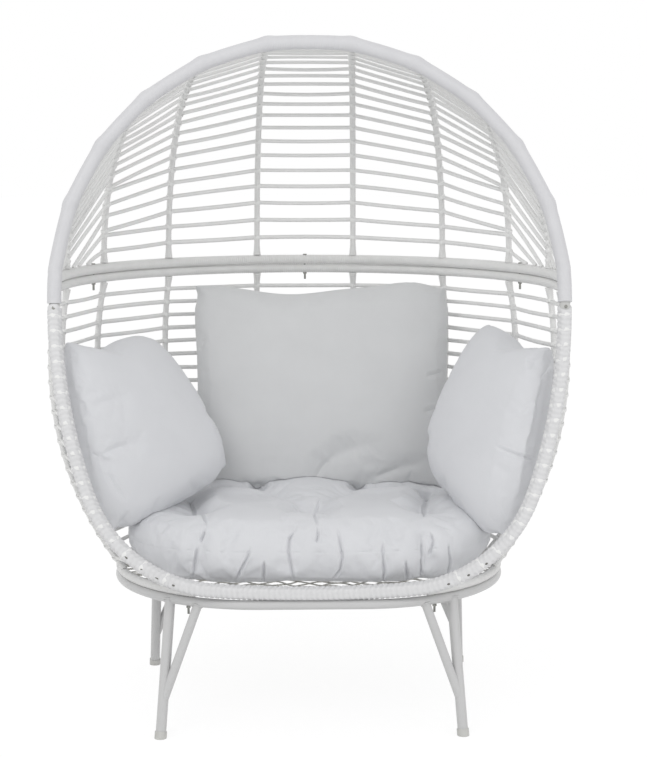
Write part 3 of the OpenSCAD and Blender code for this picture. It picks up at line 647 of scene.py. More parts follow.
# Extruded polyethylene cane: a soft waxy gleam, and grooves drawn along the strand
CANE = Finish("extruded_cane", "f0f0ef", "e6e6e5", 0.035, 0.48, Weave.GROOVES, 0.33, 0.00025)
# The same cane wound tight over a tube: its turns are modelled, so only a fine matt is left
WOUND_CANE = Finish("wound_cane", "e9e9e8", "dddddc", 0.020, 0.50, Weave.GRAIN, 0.0012, 0.00010)
# The hood rim's flat cane: a cooler white, smoother and closer wound
RIM_CANE = Finish("close_wound_cane", "d8d8da", "cfcfd2", 0.030, 0.42, Weave.GRAIN,
                  0.0014, 0.00006)
# Plaited cane on the basket's rim: a little more wear and shade in its hollows
PLAITED_CANE = Finish("plaited_cane", "e1e1e2", "d2d2d3", 0.012, 0.50, Weave.GRAIN,
                      0.0010, 0.00012)
# Twisted polyester net: off-white and dull, its yarns grooved by their twist
NET = Finish("twisted_net_cord", "f2f1eb", "e6e4dc", 0.015, 0.75, Weave.GROOVES, 0.25, 0.0004)
# Spun polyester canvas: matt with a faint sheen, threads drawn at 1.6 mm to show at all
CANVAS = Finish("spun_polyester_canvas", "dbdcdf", "d4d5d8", 0.09, 0.93, Weave.CLOTH,
                0.0016, 0.00018, sheen=0.12)
# The back cushion's cover: the same canvas painted a darker grey, as painted shade for the back of
# the egg where less light falls
SHADED_BACK_CANVAS = Finish("back_canvas_painted_shade", "d3d4d5", "cbcccd", 0.09, 0.93, Weave.CLOTH,
                     0.0016, 0.00018, sheen=0.12)
# Zinc-plated steel: bright grey with a soft brushed grain
ZINC = Finish("zinc_plated_steel", "9c9c98", "7f7f7b", 0.006, 0.36, Weave.GRAIN,
              0.0008, 0.00004, metallic=1.0)
# Moulded polyethylene feet: slightly translucent white, dull
CAP = Finish("moulded_polyethylene", "cdcdca", "c0c0bc", 0.02, 0.55, Weave.GRAIN,
             0.0010, 0.00008)
# The open eyes in the plait: a dull dark grey, painted shade for the hollows
EYE_SHADE = Finish("painted_shade_hollow", "74746f", "666661", 0.004, 0.90, Weave.GRAIN, 0.0010, 0.00010)
# Bare priming on the tubes and rods inside their wraps
CORE = Finish("primed_steel", "cfcfcd", "c2c2c0", 0.03, 0.55, Weave.GRAIN, 0.0015, 0.00006)


def dress(piece: Piece, finish: Finish) -> None:
    """Puts a finish on every material slot of a piece."""
    made = finish.material()
    if not piece.data.materials:
        piece.data.materials.append(made)
    for i in range(len(piece.data.materials)):
        piece.data.materials[i] = made


# ---------- modelling helpers ----------


def deselect() -> None:
    """Leaves edit mode and deselects everything."""
    if bpy.context.object and bpy.context.object.mode != "OBJECT":
        bpy.ops.object.mode_set(mode="OBJECT")
    for o in bpy.context.selected_objects:
        o.select_set(False)


def pick(piece: Piece) -> None:
    """Makes one piece the selected and active one."""
    deselect()
    piece.select_set(True)
    bpy.context.view_layer.objects.active = piece


def edit(piece: Piece) -> None:
    """Opens a piece for editing with all of it selected."""
    pick(piece)
    bpy.ops.object.mode_set(mode="EDIT")
    bpy.ops.mesh.select_all(action="SELECT")


def settle(piece: Piece, angle: float) -> None:
    """Finishes a piece: normals outwards, smooth up to an angle."""
    edit(piece)
    bpy.ops.mesh.remove_doubles(threshold=1e-6)
    bpy.ops.mesh.normals_make_consistent(inside=False)
    bpy.ops.object.mode_set(mode="OBJECT")
    bpy.ops.object.shade_smooth_by_angle(angle=math.radians(angle))
    deselect()


def drop(piece: Piece) -> None:
    """Removes a helper and its mesh or curve."""
    data = piece.data
    bpy.data.objects.remove(piece)
    if isinstance(data, bpy.types.Mesh):
        bpy.data.meshes.remove(data)
    elif isinstance(data, bpy.types.Curve):
        bpy.data.curves.remove(data)


def apply_all(piece: Piece) -> None:
    """Applies every modifier of a piece, in order."""
    pick(piece)
    for modifier in list(piece.modifiers):
        bpy.ops.object.modifier_apply(modifier=modifier.name)
    deselect()


def put_in_scene(name: str, data: bpy.types.ID) -> Piece:
    """Makes an object of some data and puts it in the scene."""
    made = bpy.data.objects.new(name, data)
    bpy.context.scene.collection.objects.link(made)
    return made


def build_mesh(name: str, points: list, faces: list[list[int]]) -> Piece:
    """Makes a piece of points and faces."""
    mesh = bpy.data.meshes.new(name)
    mesh.from_pydata([tuple(p) for p in points], [], faces)
    return put_in_scene(name, mesh)


def sleeve(count: int, sides: int, closed: bool) -> list[list[int]]:
    """Returns the faces between rings of points; closed joins the last ring to the first."""
    return [[i * sides + j, i * sides + (j + 1) % sides,
             (i + 1) % count * sides + (j + 1) % sides, (i + 1) % count * sides + j]
            for i in range(count if closed else count - 1) for j in range(sides)]


def map_round(piece: Piece, pitch: float) -> None:
    """Gives a round along +X its map: u round it, v along it in pitches."""
    layer = piece.data.uv_layers.new(name="UVMap")
    rows = coordinates(piece.data)
    for loop in piece.data.loops:
        x, y, z = rows[loop.vertex_index]
        layer.data[loop.index].uv = (math.atan2(z, y) / TAU % 1, x / pitch)


def coordinates(mesh: bpy.types.Mesh) -> Rows:
    """Returns a mesh's points as rows."""
    flat = np.empty(len(mesh.vertices) * 3)
    mesh.vertices.foreach_get("co", flat)
    return flat.reshape(-1, 3)


def put_coordinates(mesh: bpy.types.Mesh, rows: Rows) -> None:
    """Writes points back to a mesh."""
    mesh.vertices.foreach_set("co", rows.ravel())
    mesh.update()


def resample(points: Rows, step: float) -> Rows:
    """Returns points at an even step along a line of points, with both ends kept."""
    at = distances(points)
    count = max(2, int(round(at[-1] / step)) + 1)
    wanted = np.linspace(0, at[-1], count)
    return np.column_stack([np.interp(wanted, at, points[:, i]) for i in range(3)])


def distances(points: Rows) -> Rows:
    """Returns how far along a line each of its points lies."""
    return np.concatenate([[0], np.cumsum(np.linalg.norm(np.diff(points, axis=0), axis=1))])


@dataclass
class Winding:
    """A wrap of cane, wound turn by turn round a tube.

    Attributes:
        radius: radius at the low places between the turns.
        crown: how far a turn stands above them.
        pitch: width of one turn.
        sides: sides of a turn's round.
        slant: how far a turn leans along the tube from one side to the other.
        plait: cells round the tube that go over and under, 0 for a plain winding.
        shares: shares of a turn's width that rise, run along its crown and fall.
    """

    radius: float
    crown: float
    pitch: float
    sides: int = 16
    slant: float = 0.0
    plait: int = 0
    shares: Triple = (0.28, 0.44, 0.28)

    def turn(self) -> Piece:
        """Models one turn along +X: a ring, drawn out in steps and swelled between."""
        deselect()
        bpy.ops.mesh.primitive_circle_add(vertices=self.sides, radius=self.radius,
                                          rotation=(0, math.pi / 2, 0))
        ring = bpy.context.object
        bpy.ops.object.transform_apply(location=True, rotation=True, scale=True)
        edit(ring)
        swell = 1 + self.crown / self.radius
        for share, scale in zip(self.shares, (swell, 1.0, 1 / swell)):
            bpy.ops.mesh.extrude_region_move(
                TRANSFORM_OT_translate={"value": (self.pitch * share, 0, 0)})
            bpy.ops.transform.resize(value=(1, scale, scale))
        bpy.ops.object.mode_set(mode="OBJECT")
        rows = coordinates(ring.data)
        around = np.arctan2(rows[:, 2], rows[:, 1])
        if self.plait:
            cell = np.floor((around / TAU % 1) * self.plait + 1e-6) % 2
            rows[:, 1:] *= np.where(cell > 0, swell, 1.0)[:, None]
        rows[:, 0] += self.slant * np.sin(around)
        put_coordinates(ring.data, rows)
        map_round(ring, self.pitch)
        return ring

    def along(self, name: str, path: Rows,
              swell: Rows | None = None) -> Piece:
        """Winds turns along a path.

        Args:
            name: name of the new piece.
            path: points of the tube's middle.
            swell: share of the radius at each point, or None for 1 everywhere.

        Returns:
            The wrap, closed at both ends.
        """
        piece = self.turn()
        piece.name = name
        piece.data.name = name
        row = piece.modifiers.new("turns", "ARRAY")
        row.count = max(2, round(float(distances(path)[-1]) / self.pitch))
        row.use_relative_offset = False
        row.use_constant_offset = True
        row.constant_offset_displace = (self.pitch, 0, 0)
        row.use_merge_vertices = not self.plait
        row.merge_threshold = 2e-6
        carrier = route(path, swell)
        bend = piece.modifiers.new("route", "CURVE")
        bend.object = carrier
        bend.deform_axis = "POS_X"
        apply_all(piece)
        drop(carrier)
        edit(piece)
        if self.plait:
            bpy.ops.mesh.remove_doubles(threshold=self.crown * 1.05)
        bpy.ops.mesh.select_all(action="SELECT")
        bpy.ops.mesh.fill_holes(sides=0)
        bpy.ops.object.mode_set(mode="OBJECT")
        return piece


def route(path: Rows, swell: Rows | None) -> Piece:
    """Makes the curve that a winding is bent along."""
    curve = bpy.data.curves.new("route", "CURVE")
    curve.dimensions = "3D"
    curve.twist_mode = "MINIMUM"
    curve.use_radius = True
    curve.use_stretch = True
    curve.use_deform_bounds = True
    spline = curve.splines.new("POLY")
    spline.points.add(len(path) - 1)
    for i, p in enumerate(path):
        spline.points[i].co = (*p, 1)
        spline.points[i].radius = 1.0 if swell is None else float(swell[i])
    return put_in_scene("route", curve)


def join(name: str, parts: list[Piece]) -> Piece:
    """Joins parts into one piece of that name."""
    deselect()
    for part in parts:
        part.select_set(True)
    bpy.context.view_layer.objects.active = parts[0]
    bpy.ops.object.join()
    made = bpy.context.object
    made.name = name
    made.data.name = name
    deselect()
    return made


def copies(name: str, form: Piece, placed: list[Rows]) -> Piece:
    """Makes one mesh of many copies of a form, which is removed.

    Args:
        name: name of the new piece.
        form: the shape that repeats.
        placed: for each copy, the rows of its points.

    Returns:
        A mesh that holds every copy.
    """
    faces = [list(f.vertices) for f in form.data.polygons]
    n = len(form.data.vertices)
    made = build_mesh(name, np.vstack(placed).tolist(),
                      [[v + n * i for v in f] for i in range(len(placed)) for f in faces])
    source = form.data.uv_layers.active
    if source:
        flat = np.empty(len(form.data.loops) * 2)
        source.data.foreach_get("uv", flat)
        layer = made.data.uv_layers.new(name="UVMap")
        layer.data.foreach_set("uv", np.tile(flat, len(placed)))
    drop(form)
    return made


def replace(piece: Piece, finish: Finish, slot: str, *nodes: str) -> None:
    """Dresses a new piece, lets it ride, and has it stand for CAD nodes."""
    dress(piece, finish)
    if nodes:
        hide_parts(*nodes)
    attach(piece, BODY)
    log.info("%s: %d faces", piece.name, len(piece.data.polygons))


def complete(piece: Piece, finish: Finish, slot: str, *nodes: str,
             angle: float = 80) -> None:
    """Settles a new piece, smooth up to an angle, and has it stand for CAD nodes."""
    settle(piece, angle)
    replace(piece, finish, slot, *nodes)


# ---------- routes of the wrapped tubes ----------


def arc(centre: Rows, r: float, start: float, end: float) -> Rows:
    """Returns points of an arc in a plane, a few millimetres apart."""
    count = max(3, int(abs(math.radians(end - start)) * r / 0.006))
    turn = np.radians(np.linspace(start, end, count))
    return np.column_stack([centre[0] + r * np.cos(turn), centre[1] + r * np.sin(turn)])


def mirror_back(points: Rows) -> Rows:
    """Returns a line on the right followed by its mirror image on the left."""
    left = points[::-1].copy()
    left[:, 0] *= -1
    return np.vstack([points, left[1:] if abs(points[-1, 0]) < 1e-6 else left])


def basket_rim_route(egg: EggPlan) -> Rows:
    """Returns the basket rim's middle from the right joint round to the left one."""
    side, front = egg.rim_side_turn, egg.rim_front_turn
    flat = np.vstack([
        arc(egg.side_c, egg.rim_side_r, 0, -side),
        arc(egg.corner_c, egg.rim_corner_r, -side, front - 90)[1:],
        arc(egg.front_c, egg.rim_front_r, front - 90, -90)[1:],
    ])
    return resample(np.array([egg.on_rim(x, s) for x, s in mirror_back(flat)]), 0.008)


def hood_rim_route(egg: EggPlan, last: float = 85.0, straight: float = 0.6,
                   lift: float = 0.001) -> Rows:
    """Returns the hood rim's middle, drawn a little straight between the ribs.

    Args:
        egg: the plan.
        last: angle of the last bend, beyond the last rib.
        straight: how straight a stretch is, from 0 to 1.
        lift: how far a stretch lies outside the round.

    Returns:
        Its points from the right joint to the left one.
    """
    corners = [top for _, top in egg.hood_places] + [last]
    corners = sorted([-c for c in corners] + corners)
    points = [egg.on_rim(egg.opening_r, egg.joint_s + egg.seat_gap * 2)]
    for a in np.linspace(90, -90, 281):
        out = egg.hood_rim_point(a)
        i = int(np.searchsorted(corners, a))
        if 0 < i < len(corners):
            low, high = corners[i - 1], corners[i]
            chord = cosd((high - low) / 2) / cosd(a - (low + high) / 2)
            middle = egg.on_rim(0, egg.round_s)
            out = middle + (out - middle) * (1 + (chord - 1) * straight + lift / egg.opening_r)
        points.append(out)
    points.append(egg.on_rim(-egg.opening_r, egg.joint_s + egg.seat_gap * 2))
    return resample(np.array(points), ROUTE_STEP)


def split_route(egg: EggPlan, z: float, d: float, rim_d: float) -> Rows:
    """Returns the middle of a level tube at the split, clear of the rim's wrap."""
    slope = sind(egg.rim_tilt) / cosd(egg.rim_tilt)
    reach = (egg.plan_y - (z - egg.rim_z) * slope
             - (rim_d / 2 + egg.seat_gap) / cosd(egg.rim_tilt) - d / 2 * slope)
    right = [np.array([egg.opening_r, egg.plan_y - reach - egg.middle_y, z])]
    right += [egg.split_point(a, z) for a in np.linspace(90, 0, 120)]
    return resample(mirror_back(np.array(right)), ROUTE_STEP)


def floor_ring_route(egg: EggPlan) -> Rows:
    """Returns the wrapped ring's middle under the basket, open in front."""
    reach = (egg.basket_wrap_d + egg.floor_wrap_d) / 2
    start = math.degrees(math.acos(1 - reach / egg.ring_front_r)) + egg.ring_end_turn
    right = [egg.ring_point(a, egg.floor_z) for a in np.linspace(180 - start, 90.01, 70)]
    right += [egg.ring_point(a, egg.floor_z) for a in np.linspace(90, 0, 60)]
    right.append(np.array([0.0, egg.ring_depth - egg.middle_y, egg.floor_z]))
    return resample(mirror_back(np.array(right)), ROUTE_STEP)


def rib_route(rib: Rib, side: int) -> Rows:
    """Returns a rib's middle on the right (1) or the left (-1)."""
    points = np.array([rib.point(t) for t in np.linspace(0, rib.length(), 60)])
    points[:, 0] *= side
    return points


# ---------- strands and the loops that tie them ----------


@dataclass
class Cane:
    """The flat cane that fills the panels: straight strands and loops round the ribs.

    Attributes:
        width: width of a strand, along the egg's skin.
        thickness: its thickness, through the skin.
        bow: how far a strand lies off its straight line at its middle.
        loop_t: how far a loop stands above the wrapped rib.
        loop_w: width of a loop.
        loop_tilt: lean of a loop on its rib, in degrees.
        loop_sink: share of a loop's thickness that lies in the wrap under it.
        tuck: how far a strand's end goes into what carries it.
        vary_w: least and greatest share of a strand's width.
        vary_t: least and greatest share of its thickness.
        vary_turn: how far a strand is turned about itself, in degrees.
        vary_lean: how far a loop's lean strays, in degrees.
    """

    width: float = 0.0098
    thickness: float = 0.0074
    bow: float = 0.0012
    loop_t: float = 0.0026
    loop_w: float = 0.0085
    loop_tilt: float = 24.0
    loop_sink: float = 0.35
    tuck: float = 0.002
    vary_w: tuple[float, float] = (0.94, 1.05)
    vary_t: tuple[float, float] = (0.95, 1.06)
    vary_turn: float = 5
    vary_lean: float = 4

    def strand_form(self) -> Piece:
        """Models the strand that repeats: an eight-sided round drawn out over one metre."""
        deselect()
        bpy.ops.mesh.primitive_circle_add(vertices=8, radius=0.5, fill_type="NGON",
                                          rotation=(0, math.pi / 2, 0))
        form = bpy.context.object
        bpy.ops.object.transform_apply(location=True, rotation=True, scale=True)
        edit(form)
        for _ in range(4):
            bpy.ops.mesh.extrude_region_move(TRANSFORM_OT_translate={"value": (0.25, 0, 0)})
        bpy.ops.mesh.select_all(action="SELECT")
        bpy.ops.mesh.normals_make_consistent(inside=False)
        bpy.ops.object.mode_set(mode="OBJECT")
        map_round(form, 1)
        return form

    def strands(self, name: str, lines: list[Strand], side: int, seed: int) -> Piece:
        """Lays a strand along each line, flat on the egg's skin.

        Args:
            name: name of the new piece.
            lines: the strands' places on the right.
            side: 1 for the right, -1 for the left.
            seed: seed of their small irregularities.

        Returns:
            One mesh of all the strands.
        """
        chance = np.random.default_rng(seed)
        form = self.strand_form()
        rows = coordinates(form.data)
        placed = []
        for line in lines:
            u = unit(line.q - line.p)
            p = line.p + u * max(0.0, line.cut_p - self.tuck)
            q = line.q - u * max(0.0, line.cut_q - self.tuck)
            skin = unit(line.out_p + line.out_q)
            skin = unit(skin - u * float(skin @ u))
            across = np.cross(skin, u)
            bow = self.bow * chance.normal(0, 1, 2)
            wide = self.width * chance.uniform(*self.vary_w)
            thick = self.thickness * chance.uniform(*self.vary_t)
            turn = math.radians(chance.normal(0, self.vary_turn))
            x = rows[:, 0]
            y = rows[:, 1] * math.cos(turn) * wide - rows[:, 2] * math.sin(turn) * thick
            z = rows[:, 1] * math.sin(turn) * wide + rows[:, 2] * math.cos(turn) * thick
            arch = 4 * x * (1 - x)
            points = (p + np.outer(x, q - p) + np.outer(y + arch * bow[0], across)
                      + np.outer(z + arch * bow[1], skin))
            points[:, 0] *= side
            placed.append(points)
        made = copies(name, form, placed)
        settle(made, 70)
        return made

    def loops(self, name: str, crossings: list[Crossing], side: int,
              seed: int) -> Piece:
        """Ties a loop round its carrier at each crossing.

        Args:
            name: name of the new piece.
            crossings: the loops' places on the right.
            side: 1 for the right, -1 for the left.
            seed: seed of their small irregularities.

        Returns:
            One mesh of all the loops.
        """
        chance = np.random.default_rng(seed)
        deselect()
        # The loop that repeats: a band in a ring of radius one
        band = 0.2
        bpy.ops.mesh.primitive_torus_add(major_segments=12, minor_segments=5, major_radius=1.0,
                                         minor_radius=band, generate_uvs=True)
        form = bpy.context.object
        rows = coordinates(form.data)
        ring = unit_rows(rows * np.array([1, 1, 0]))
        offset = rows - ring
        placed = []
        for c in crossings:
            across = np.cross(c.way, c.out)
            lean = math.radians(c.tilt + chance.normal(0, self.vary_lean))
            axis = c.way * math.cos(lean) + across * math.sin(lean)
            x_axis = unit(across - axis * float(across @ axis))
            y_axis = np.cross(axis, x_axis)
            radial = (offset[:, :2] * ring[:, :2]).sum(1) / band * self.loop_t
            reach = c.radius + self.loop_t * self.loop_sink + radial * (1 - self.loop_sink)
            flat = ring * reach[:, None]
            stretch = 1 / math.cos(lean)
            height = offset[:, 2] / band * self.loop_w / 2
            points = (c.at + np.outer(flat[:, 0] * stretch, x_axis) + np.outer(flat[:, 1], y_axis)
                      + np.outer(height, axis))
            points[:, 0] *= side
            placed.append(points)
        made = copies(name, form, placed)
        settle(made, 70)
        return made


def unit_rows(rows: Rows) -> Rows:
    """Returns rows at length one each."""
    return rows / np.maximum(np.linalg.norm(rows, axis=1), 1e-9)[:, None]


# ---------- sub-assemblies ----------


@dataclass
class Base:
    """The welded base: ring, legs and braces as they are, and a bead at each joint.

    Attributes:
        egg: the plan; not used.
        leg_r: radius of a leg.
        brace_r: radius of a brace.
        bead_r: radius of a weld bead.
        legs: the legs' own words in the names of nodes.
        foot: height of a tube's lowest part, whose middle is taken.
        head: height of its uppermost part, whose middle is taken.
        count: points along a bead.
        sides: sides of a bead's round.
    """

    egg: EggPlan
    leg_r: float = 0.011
    brace_r: float = 0.0095
    bead_r: float = 0.0022
    legs: tuple[str, ...] = ("front_left", "front_right", "rear_left", "rear_right")
    foot: float = 0.004
    head: float = 0.012
    count: int = 36
    sides: int = 6

    def build(self, nodes: Nodes) -> None:
        """Dresses the base's own nodes and adds its weld beads."""
        dress(nodes["base_ring"], PAINT)
        for leg in self.legs:
            dress(nodes[f"{leg}_leg"], PAINT)
            dress(nodes[f"{leg}_brace"], PAINT)
        dress(nodes["foot_caps"], CAP)
        parts = []
        for leg in self.legs:
            for kind, r in (("leg", self.leg_r), ("brace", self.brace_r)):
                parts.append(self.bead(nodes[f"{leg}_{kind}"], r))
        complete(join("weld_beads", parts), PAINT, "base_paint", angle=60)

    def bead(self, tube: Piece, r: float) -> Piece:
        """Models the bead where a tube's upper end meets the ring's round underside."""
        rows = coordinates(tube.data)
        low = rows[rows[:, 2] < rows[:, 2].min() + self.foot].mean(0)
        high = rows[rows[:, 2] > rows[:, 2].max() - self.head].mean(0)
        way = unit(high - low)
        side_x = unit(np.cross(way, [0, 0, 1.0]) if abs(way[2]) < 0.999 else np.array([1.0, 0, 0]))
        side_y = np.cross(way, side_x)
        along = (rows - low) @ way
        off = rows - low - np.outer(along, way)
        outer = np.linalg.norm(off, axis=1) > r * 0.9
        ring = []
        # The saddle: each side of the tube runs up to the ring it is notched to
        for i in range(self.count):
            a = TAU * i / self.count
            rim = math.cos(a) * side_x + math.sin(a) * side_y
            facing = (unit_rows(off) @ rim > 0.94) & outer
            top = along[facing].max() if facing.any() else float((high - low) @ way)
            ring.append(low + way * (top - self.bead_r * 0.3) + rim * (r + self.bead_r * 0.1))
        return self._ring_of_welds(np.array(ring))

    def _ring_of_welds(self, ring: Rows) -> Piece:
        """Models a closed bead along a ring of points, slightly uneven."""
        middle = ring.mean(0)
        points = []
        for i, p in enumerate(ring):
            way = unit(ring[(i + 1) % len(ring)] - ring[i - 1])
            out = unit((p - middle) - way * float((p - middle) @ way))
            up = np.cross(way, out)
            r = self.bead_r * (1 + 0.12 * math.sin(i * 2.1))
            for j in range(self.sides):
                a = TAU * j / self.sides
                points.append(p + r * (math.cos(a) * out + math.sin(a) * up))
        return build_mesh("bead", points, sleeve(len(ring), self.sides, True))


@dataclass
class Fittings:
    """Bolts, nuts, screws and spigots, and the steel inside the wraps."""

    zinc: tuple[str, ...] = ("base_bolts", "base_nuts", "split_bolts", "split_nuts",
                             "rim_screws", "rim_spigots")
    cores: tuple[str, ...] = ("floor_ring_tube", "basket_rim_tube", "basket_top_tube",
                              "basket_rib_rods", "hood_rim_tube", "hood_base_tube",
                              "hood_rib_rods")

    def build(self, nodes: Nodes) -> None:
        """Dresses the fittings."""
        for name in self.zinc:
            dress(nodes[name], ZINC)
        for name in self.cores:
            dress(nodes[name], CORE)


@dataclass
class Half(ABC):
    """A half of the egg: wound ribs with loops round them, and panels of strands.

    Attributes:
        egg: the plan.
        cane: the flat cane of its panels.
        name: the half's own word in the names of its pieces.
        seed: seed of its strands' irregularities.
        loop_seed: seed of its loops' irregularities.
        full_reach: how far along a rib its winding is fuller at the first end.
        full_more: by what share it is fuller there.
        full_both: whether it is fuller at the other end too, by half.
        rib_pitch: width of a turn on the ribs.
        band_pitch: width of a turn on the level tubes.
    """

    egg: EggPlan
    cane: Cane
    name: str = ""
    seed: int = 0
    loop_seed: int = 0
    full_reach: float = 0.0
    full_more: float = 0.0
    full_both: bool = False
    rib_pitch: float = 0.0046
    band_pitch: float = 0.0052

    @abstractmethod
    def rim(self) -> None:
        """Winds the half's part of the rim."""

    @abstractmethod
    def bands(self) -> None:
        """Winds the half's level tubes."""

    @abstractmethod
    def crossed(self) -> list[tuple[Rib, list[float]]]:
        """Returns the ribs on the right, each with the heights at which rows cross it."""

    @abstractmethod
    def panels(self) -> tuple[list[Strand], list[Strand]]:
        """Returns the strands of the right side and of the back."""

    def build(self) -> None:
        """Builds and dresses this half of the egg."""
        self.rim()
        self.bands()
        beside, behind = self.panels()
        for side, word in ((1, "right"), (-1, "left")):
            self.ribs(side, word)
            self.panel(word, beside, side, side)
        self.panel("back", behind, 1, 3)

    def panel(self, word: str, lines: list[Strand], side: int, seed: int) -> None:
        """Lays and dresses the strands of one panel."""
        strands = self.cane.strands(f"{self.name}_{word}_strands", lines, side, self.seed + seed)
        replace(strands, CANE, "cord", f"{self.name}_{word}_cords")

    def band(self, name: str, node: str, winding: Winding, path: Rows) -> None:
        """Winds cane round a level tube."""
        complete(winding.along(name, path), WOUND_CANE, "wicker", node)

    def ribs(self, side: int, word: str) -> None:
        """Wraps the ribs of one side and loops the rows round them."""
        r = self.egg.rib_d / 2
        winding = Winding(r - 0.0006, 0.0009, self.rib_pitch, sides=12, slant=0.0010 * side)
        parts, crossings = [], []
        for i, (rib, heights) in enumerate(self.crossed()):
            path = rib_route(rib, side)
            parts.append(winding.along("rib", path, self.fullness(path)))
            tilt = self.cane.loop_tilt * (1 if i % 2 else -1)
            crossings += [Crossing(rib.point(t), rib.way(t), rib.out(t), r, tilt)
                          for t in heights]
        complete(join(f"{self.name}_{word}_rib_windings", parts), WOUND_CANE, "rib_wrap",
                 f"{self.name}_{word}_rib_wraps")
        loops = self.cane.loops(f"{self.name}_{word}_rib_loops", crossings, side,
                                self.loop_seed + side)
        replace(loops, CANE, "cord")

    def fullness(self, path: Rows) -> Rows:
        """Returns a rib winding's swell: fuller at its first end, or at both."""
        at = distances(path)
        swell = 1 + self.full_more * np.exp(-(at / self.full_reach) ** 2 * 2)
        if self.full_both:
            swell += self.full_more * 0.5 * np.exp(-((at[-1] - at) / self.full_reach) ** 2 * 2)
        return swell


@dataclass
class Basket(Half):
    """The lower half of the egg.

    Attributes:
        plait_pitch: length of a cell of the rim's plait.
        eye_places: how far to the side each open eye of the plait lies.
        eye_half: half an eye's length, height and depth.
        eye_fall: how far an eye's face looks down.
        tie_tilt: lean of the ties at the ends of the rows, in degrees.
    """

    name: str = "basket"
    seed: int = 40
    loop_seed: int = 60
    full_reach: float = 0.022
    full_more: float = 0.35
    full_both: bool = True
    plait_pitch: float = 0.0110
    eye_places: tuple[float, ...] = (-0.378, -0.346, -0.316, -0.281, 0.354, 0.318, 0.277)
    eye_half: Triple = (0.0048, 0.0022, 0.0014)
    eye_fall: float = 0.4
    tie_tilt: float = 14.0

    def panels(self) -> tuple[list[Strand], list[Strand]]:
        """Returns the strands of the right side and of the back."""
        return self.egg.basket_side(), self.egg.basket_back()

    def crossed(self) -> list[tuple[Rib, list[float]]]:
        """Returns the ribs on the right, each with the heights at which rows cross it."""
        egg = self.egg
        ribs = [egg.basket_rib(i) for i in range(len(egg.basket_places))]
        return [(rib, [egg.basket_row(rib, k) for k in range(1, egg.basket_rows + 1)])
                for rib in ribs]

    def rim(self) -> None:
        """Plaits the rim and ties the rows' ends to it."""
        plait = Winding(self.egg.basket_wrap_d / 2 - 0.0010, 0.0018, self.plait_pitch, sides=20,
                        slant=0.008, plait=10)
        complete(plait.along("basket_rim_plait", basket_rim_route(self.egg)), PLAITED_CANE,
                 "rim_wrap", "basket_rim_wrap")
        ends = join("basket_rim_ties", [self.ties(1, "right"), self.ties(-1, "left")])
        replace(ends, CANE, "cord")
        # Dark beads in the plait's open eyes: painted shade
        replace(self.eyes(), EYE_SHADE, "cord")

    def eyes(self) -> Piece:
        """Models the open eyes low on the rim, where the ends of rows are tucked in, as flat dark
        beads that are painted shade for the hollows.
        """
        egg = self.egg
        deselect()
        bpy.ops.mesh.primitive_uv_sphere_add(segments=10, ring_count=6, radius=1)
        form = bpy.context.object
        rows = coordinates(form.data)
        spans = np.linspace(0, egg.joint_s, 400)
        reach = np.array([egg.basket_rim_point(s)[0] for s in spans])
        front = egg.rim_out() * -math.copysign(1, egg.rim_out()[1])
        placed = []
        for x in self.eye_places:
            s = spans[int(np.argmax(reach >= abs(x)))]
            way = egg.basket_rim_way(s)
            low = np.cross(way, front)
            face = unit(front - self.eye_fall * low * math.copysign(1, low[2]))
            at = egg.basket_rim_point(s) + face * egg.basket_wrap_d / 2
            points = sum((np.outer(rows[:, i] * half, axis) for i, (half, axis) in
                          enumerate(zip(self.eye_half, (way, np.cross(face, way), face)))), at)
            points[:, 0] *= math.copysign(1, x)
            placed.append(points)
        made = copies("basket_rim_eye_shades", form, placed)
        settle(made, 70)
        return made

    def ties(self, side: int, word: str) -> Piece:
        """Ties the end of each row round the back of the rim."""
        egg = self.egg
        crossings = []
        for k in range(1, egg.basket_rows + 1):
            s = egg.edge_place(k)
            if s < egg.joint_s - 0.001:
                crossings.append(Crossing(egg.basket_rim_point(s), egg.basket_rim_way(s),
                                          -egg.rim_out(), egg.basket_wrap_d / 2 - 0.0006,
                                          self.tie_tilt))
        return self.cane.loops(f"basket_{word}_rim_ties", crossings, side, self.seed + 10 + side)

    def bands(self) -> None:
        """Wraps the ring under the basket and the level tube at its top."""
        egg = self.egg
        self.band("floor_ring_winding", "floor_ring_wrap",
                  Winding(egg.floor_wrap_d / 2 - 0.0008, 0.0010, self.band_pitch, slant=0.0012),
                  floor_ring_route(egg))
        self.band("basket_top_winding", "basket_top_wrap",
                  Winding(egg.basket_top_wrap_d / 2 + 0.0004, 0.0012, self.band_pitch,
                          slant=0.0012),
                  split_route(egg, egg.top_tube_z, egg.basket_top_wrap_d, egg.basket_wrap_d))


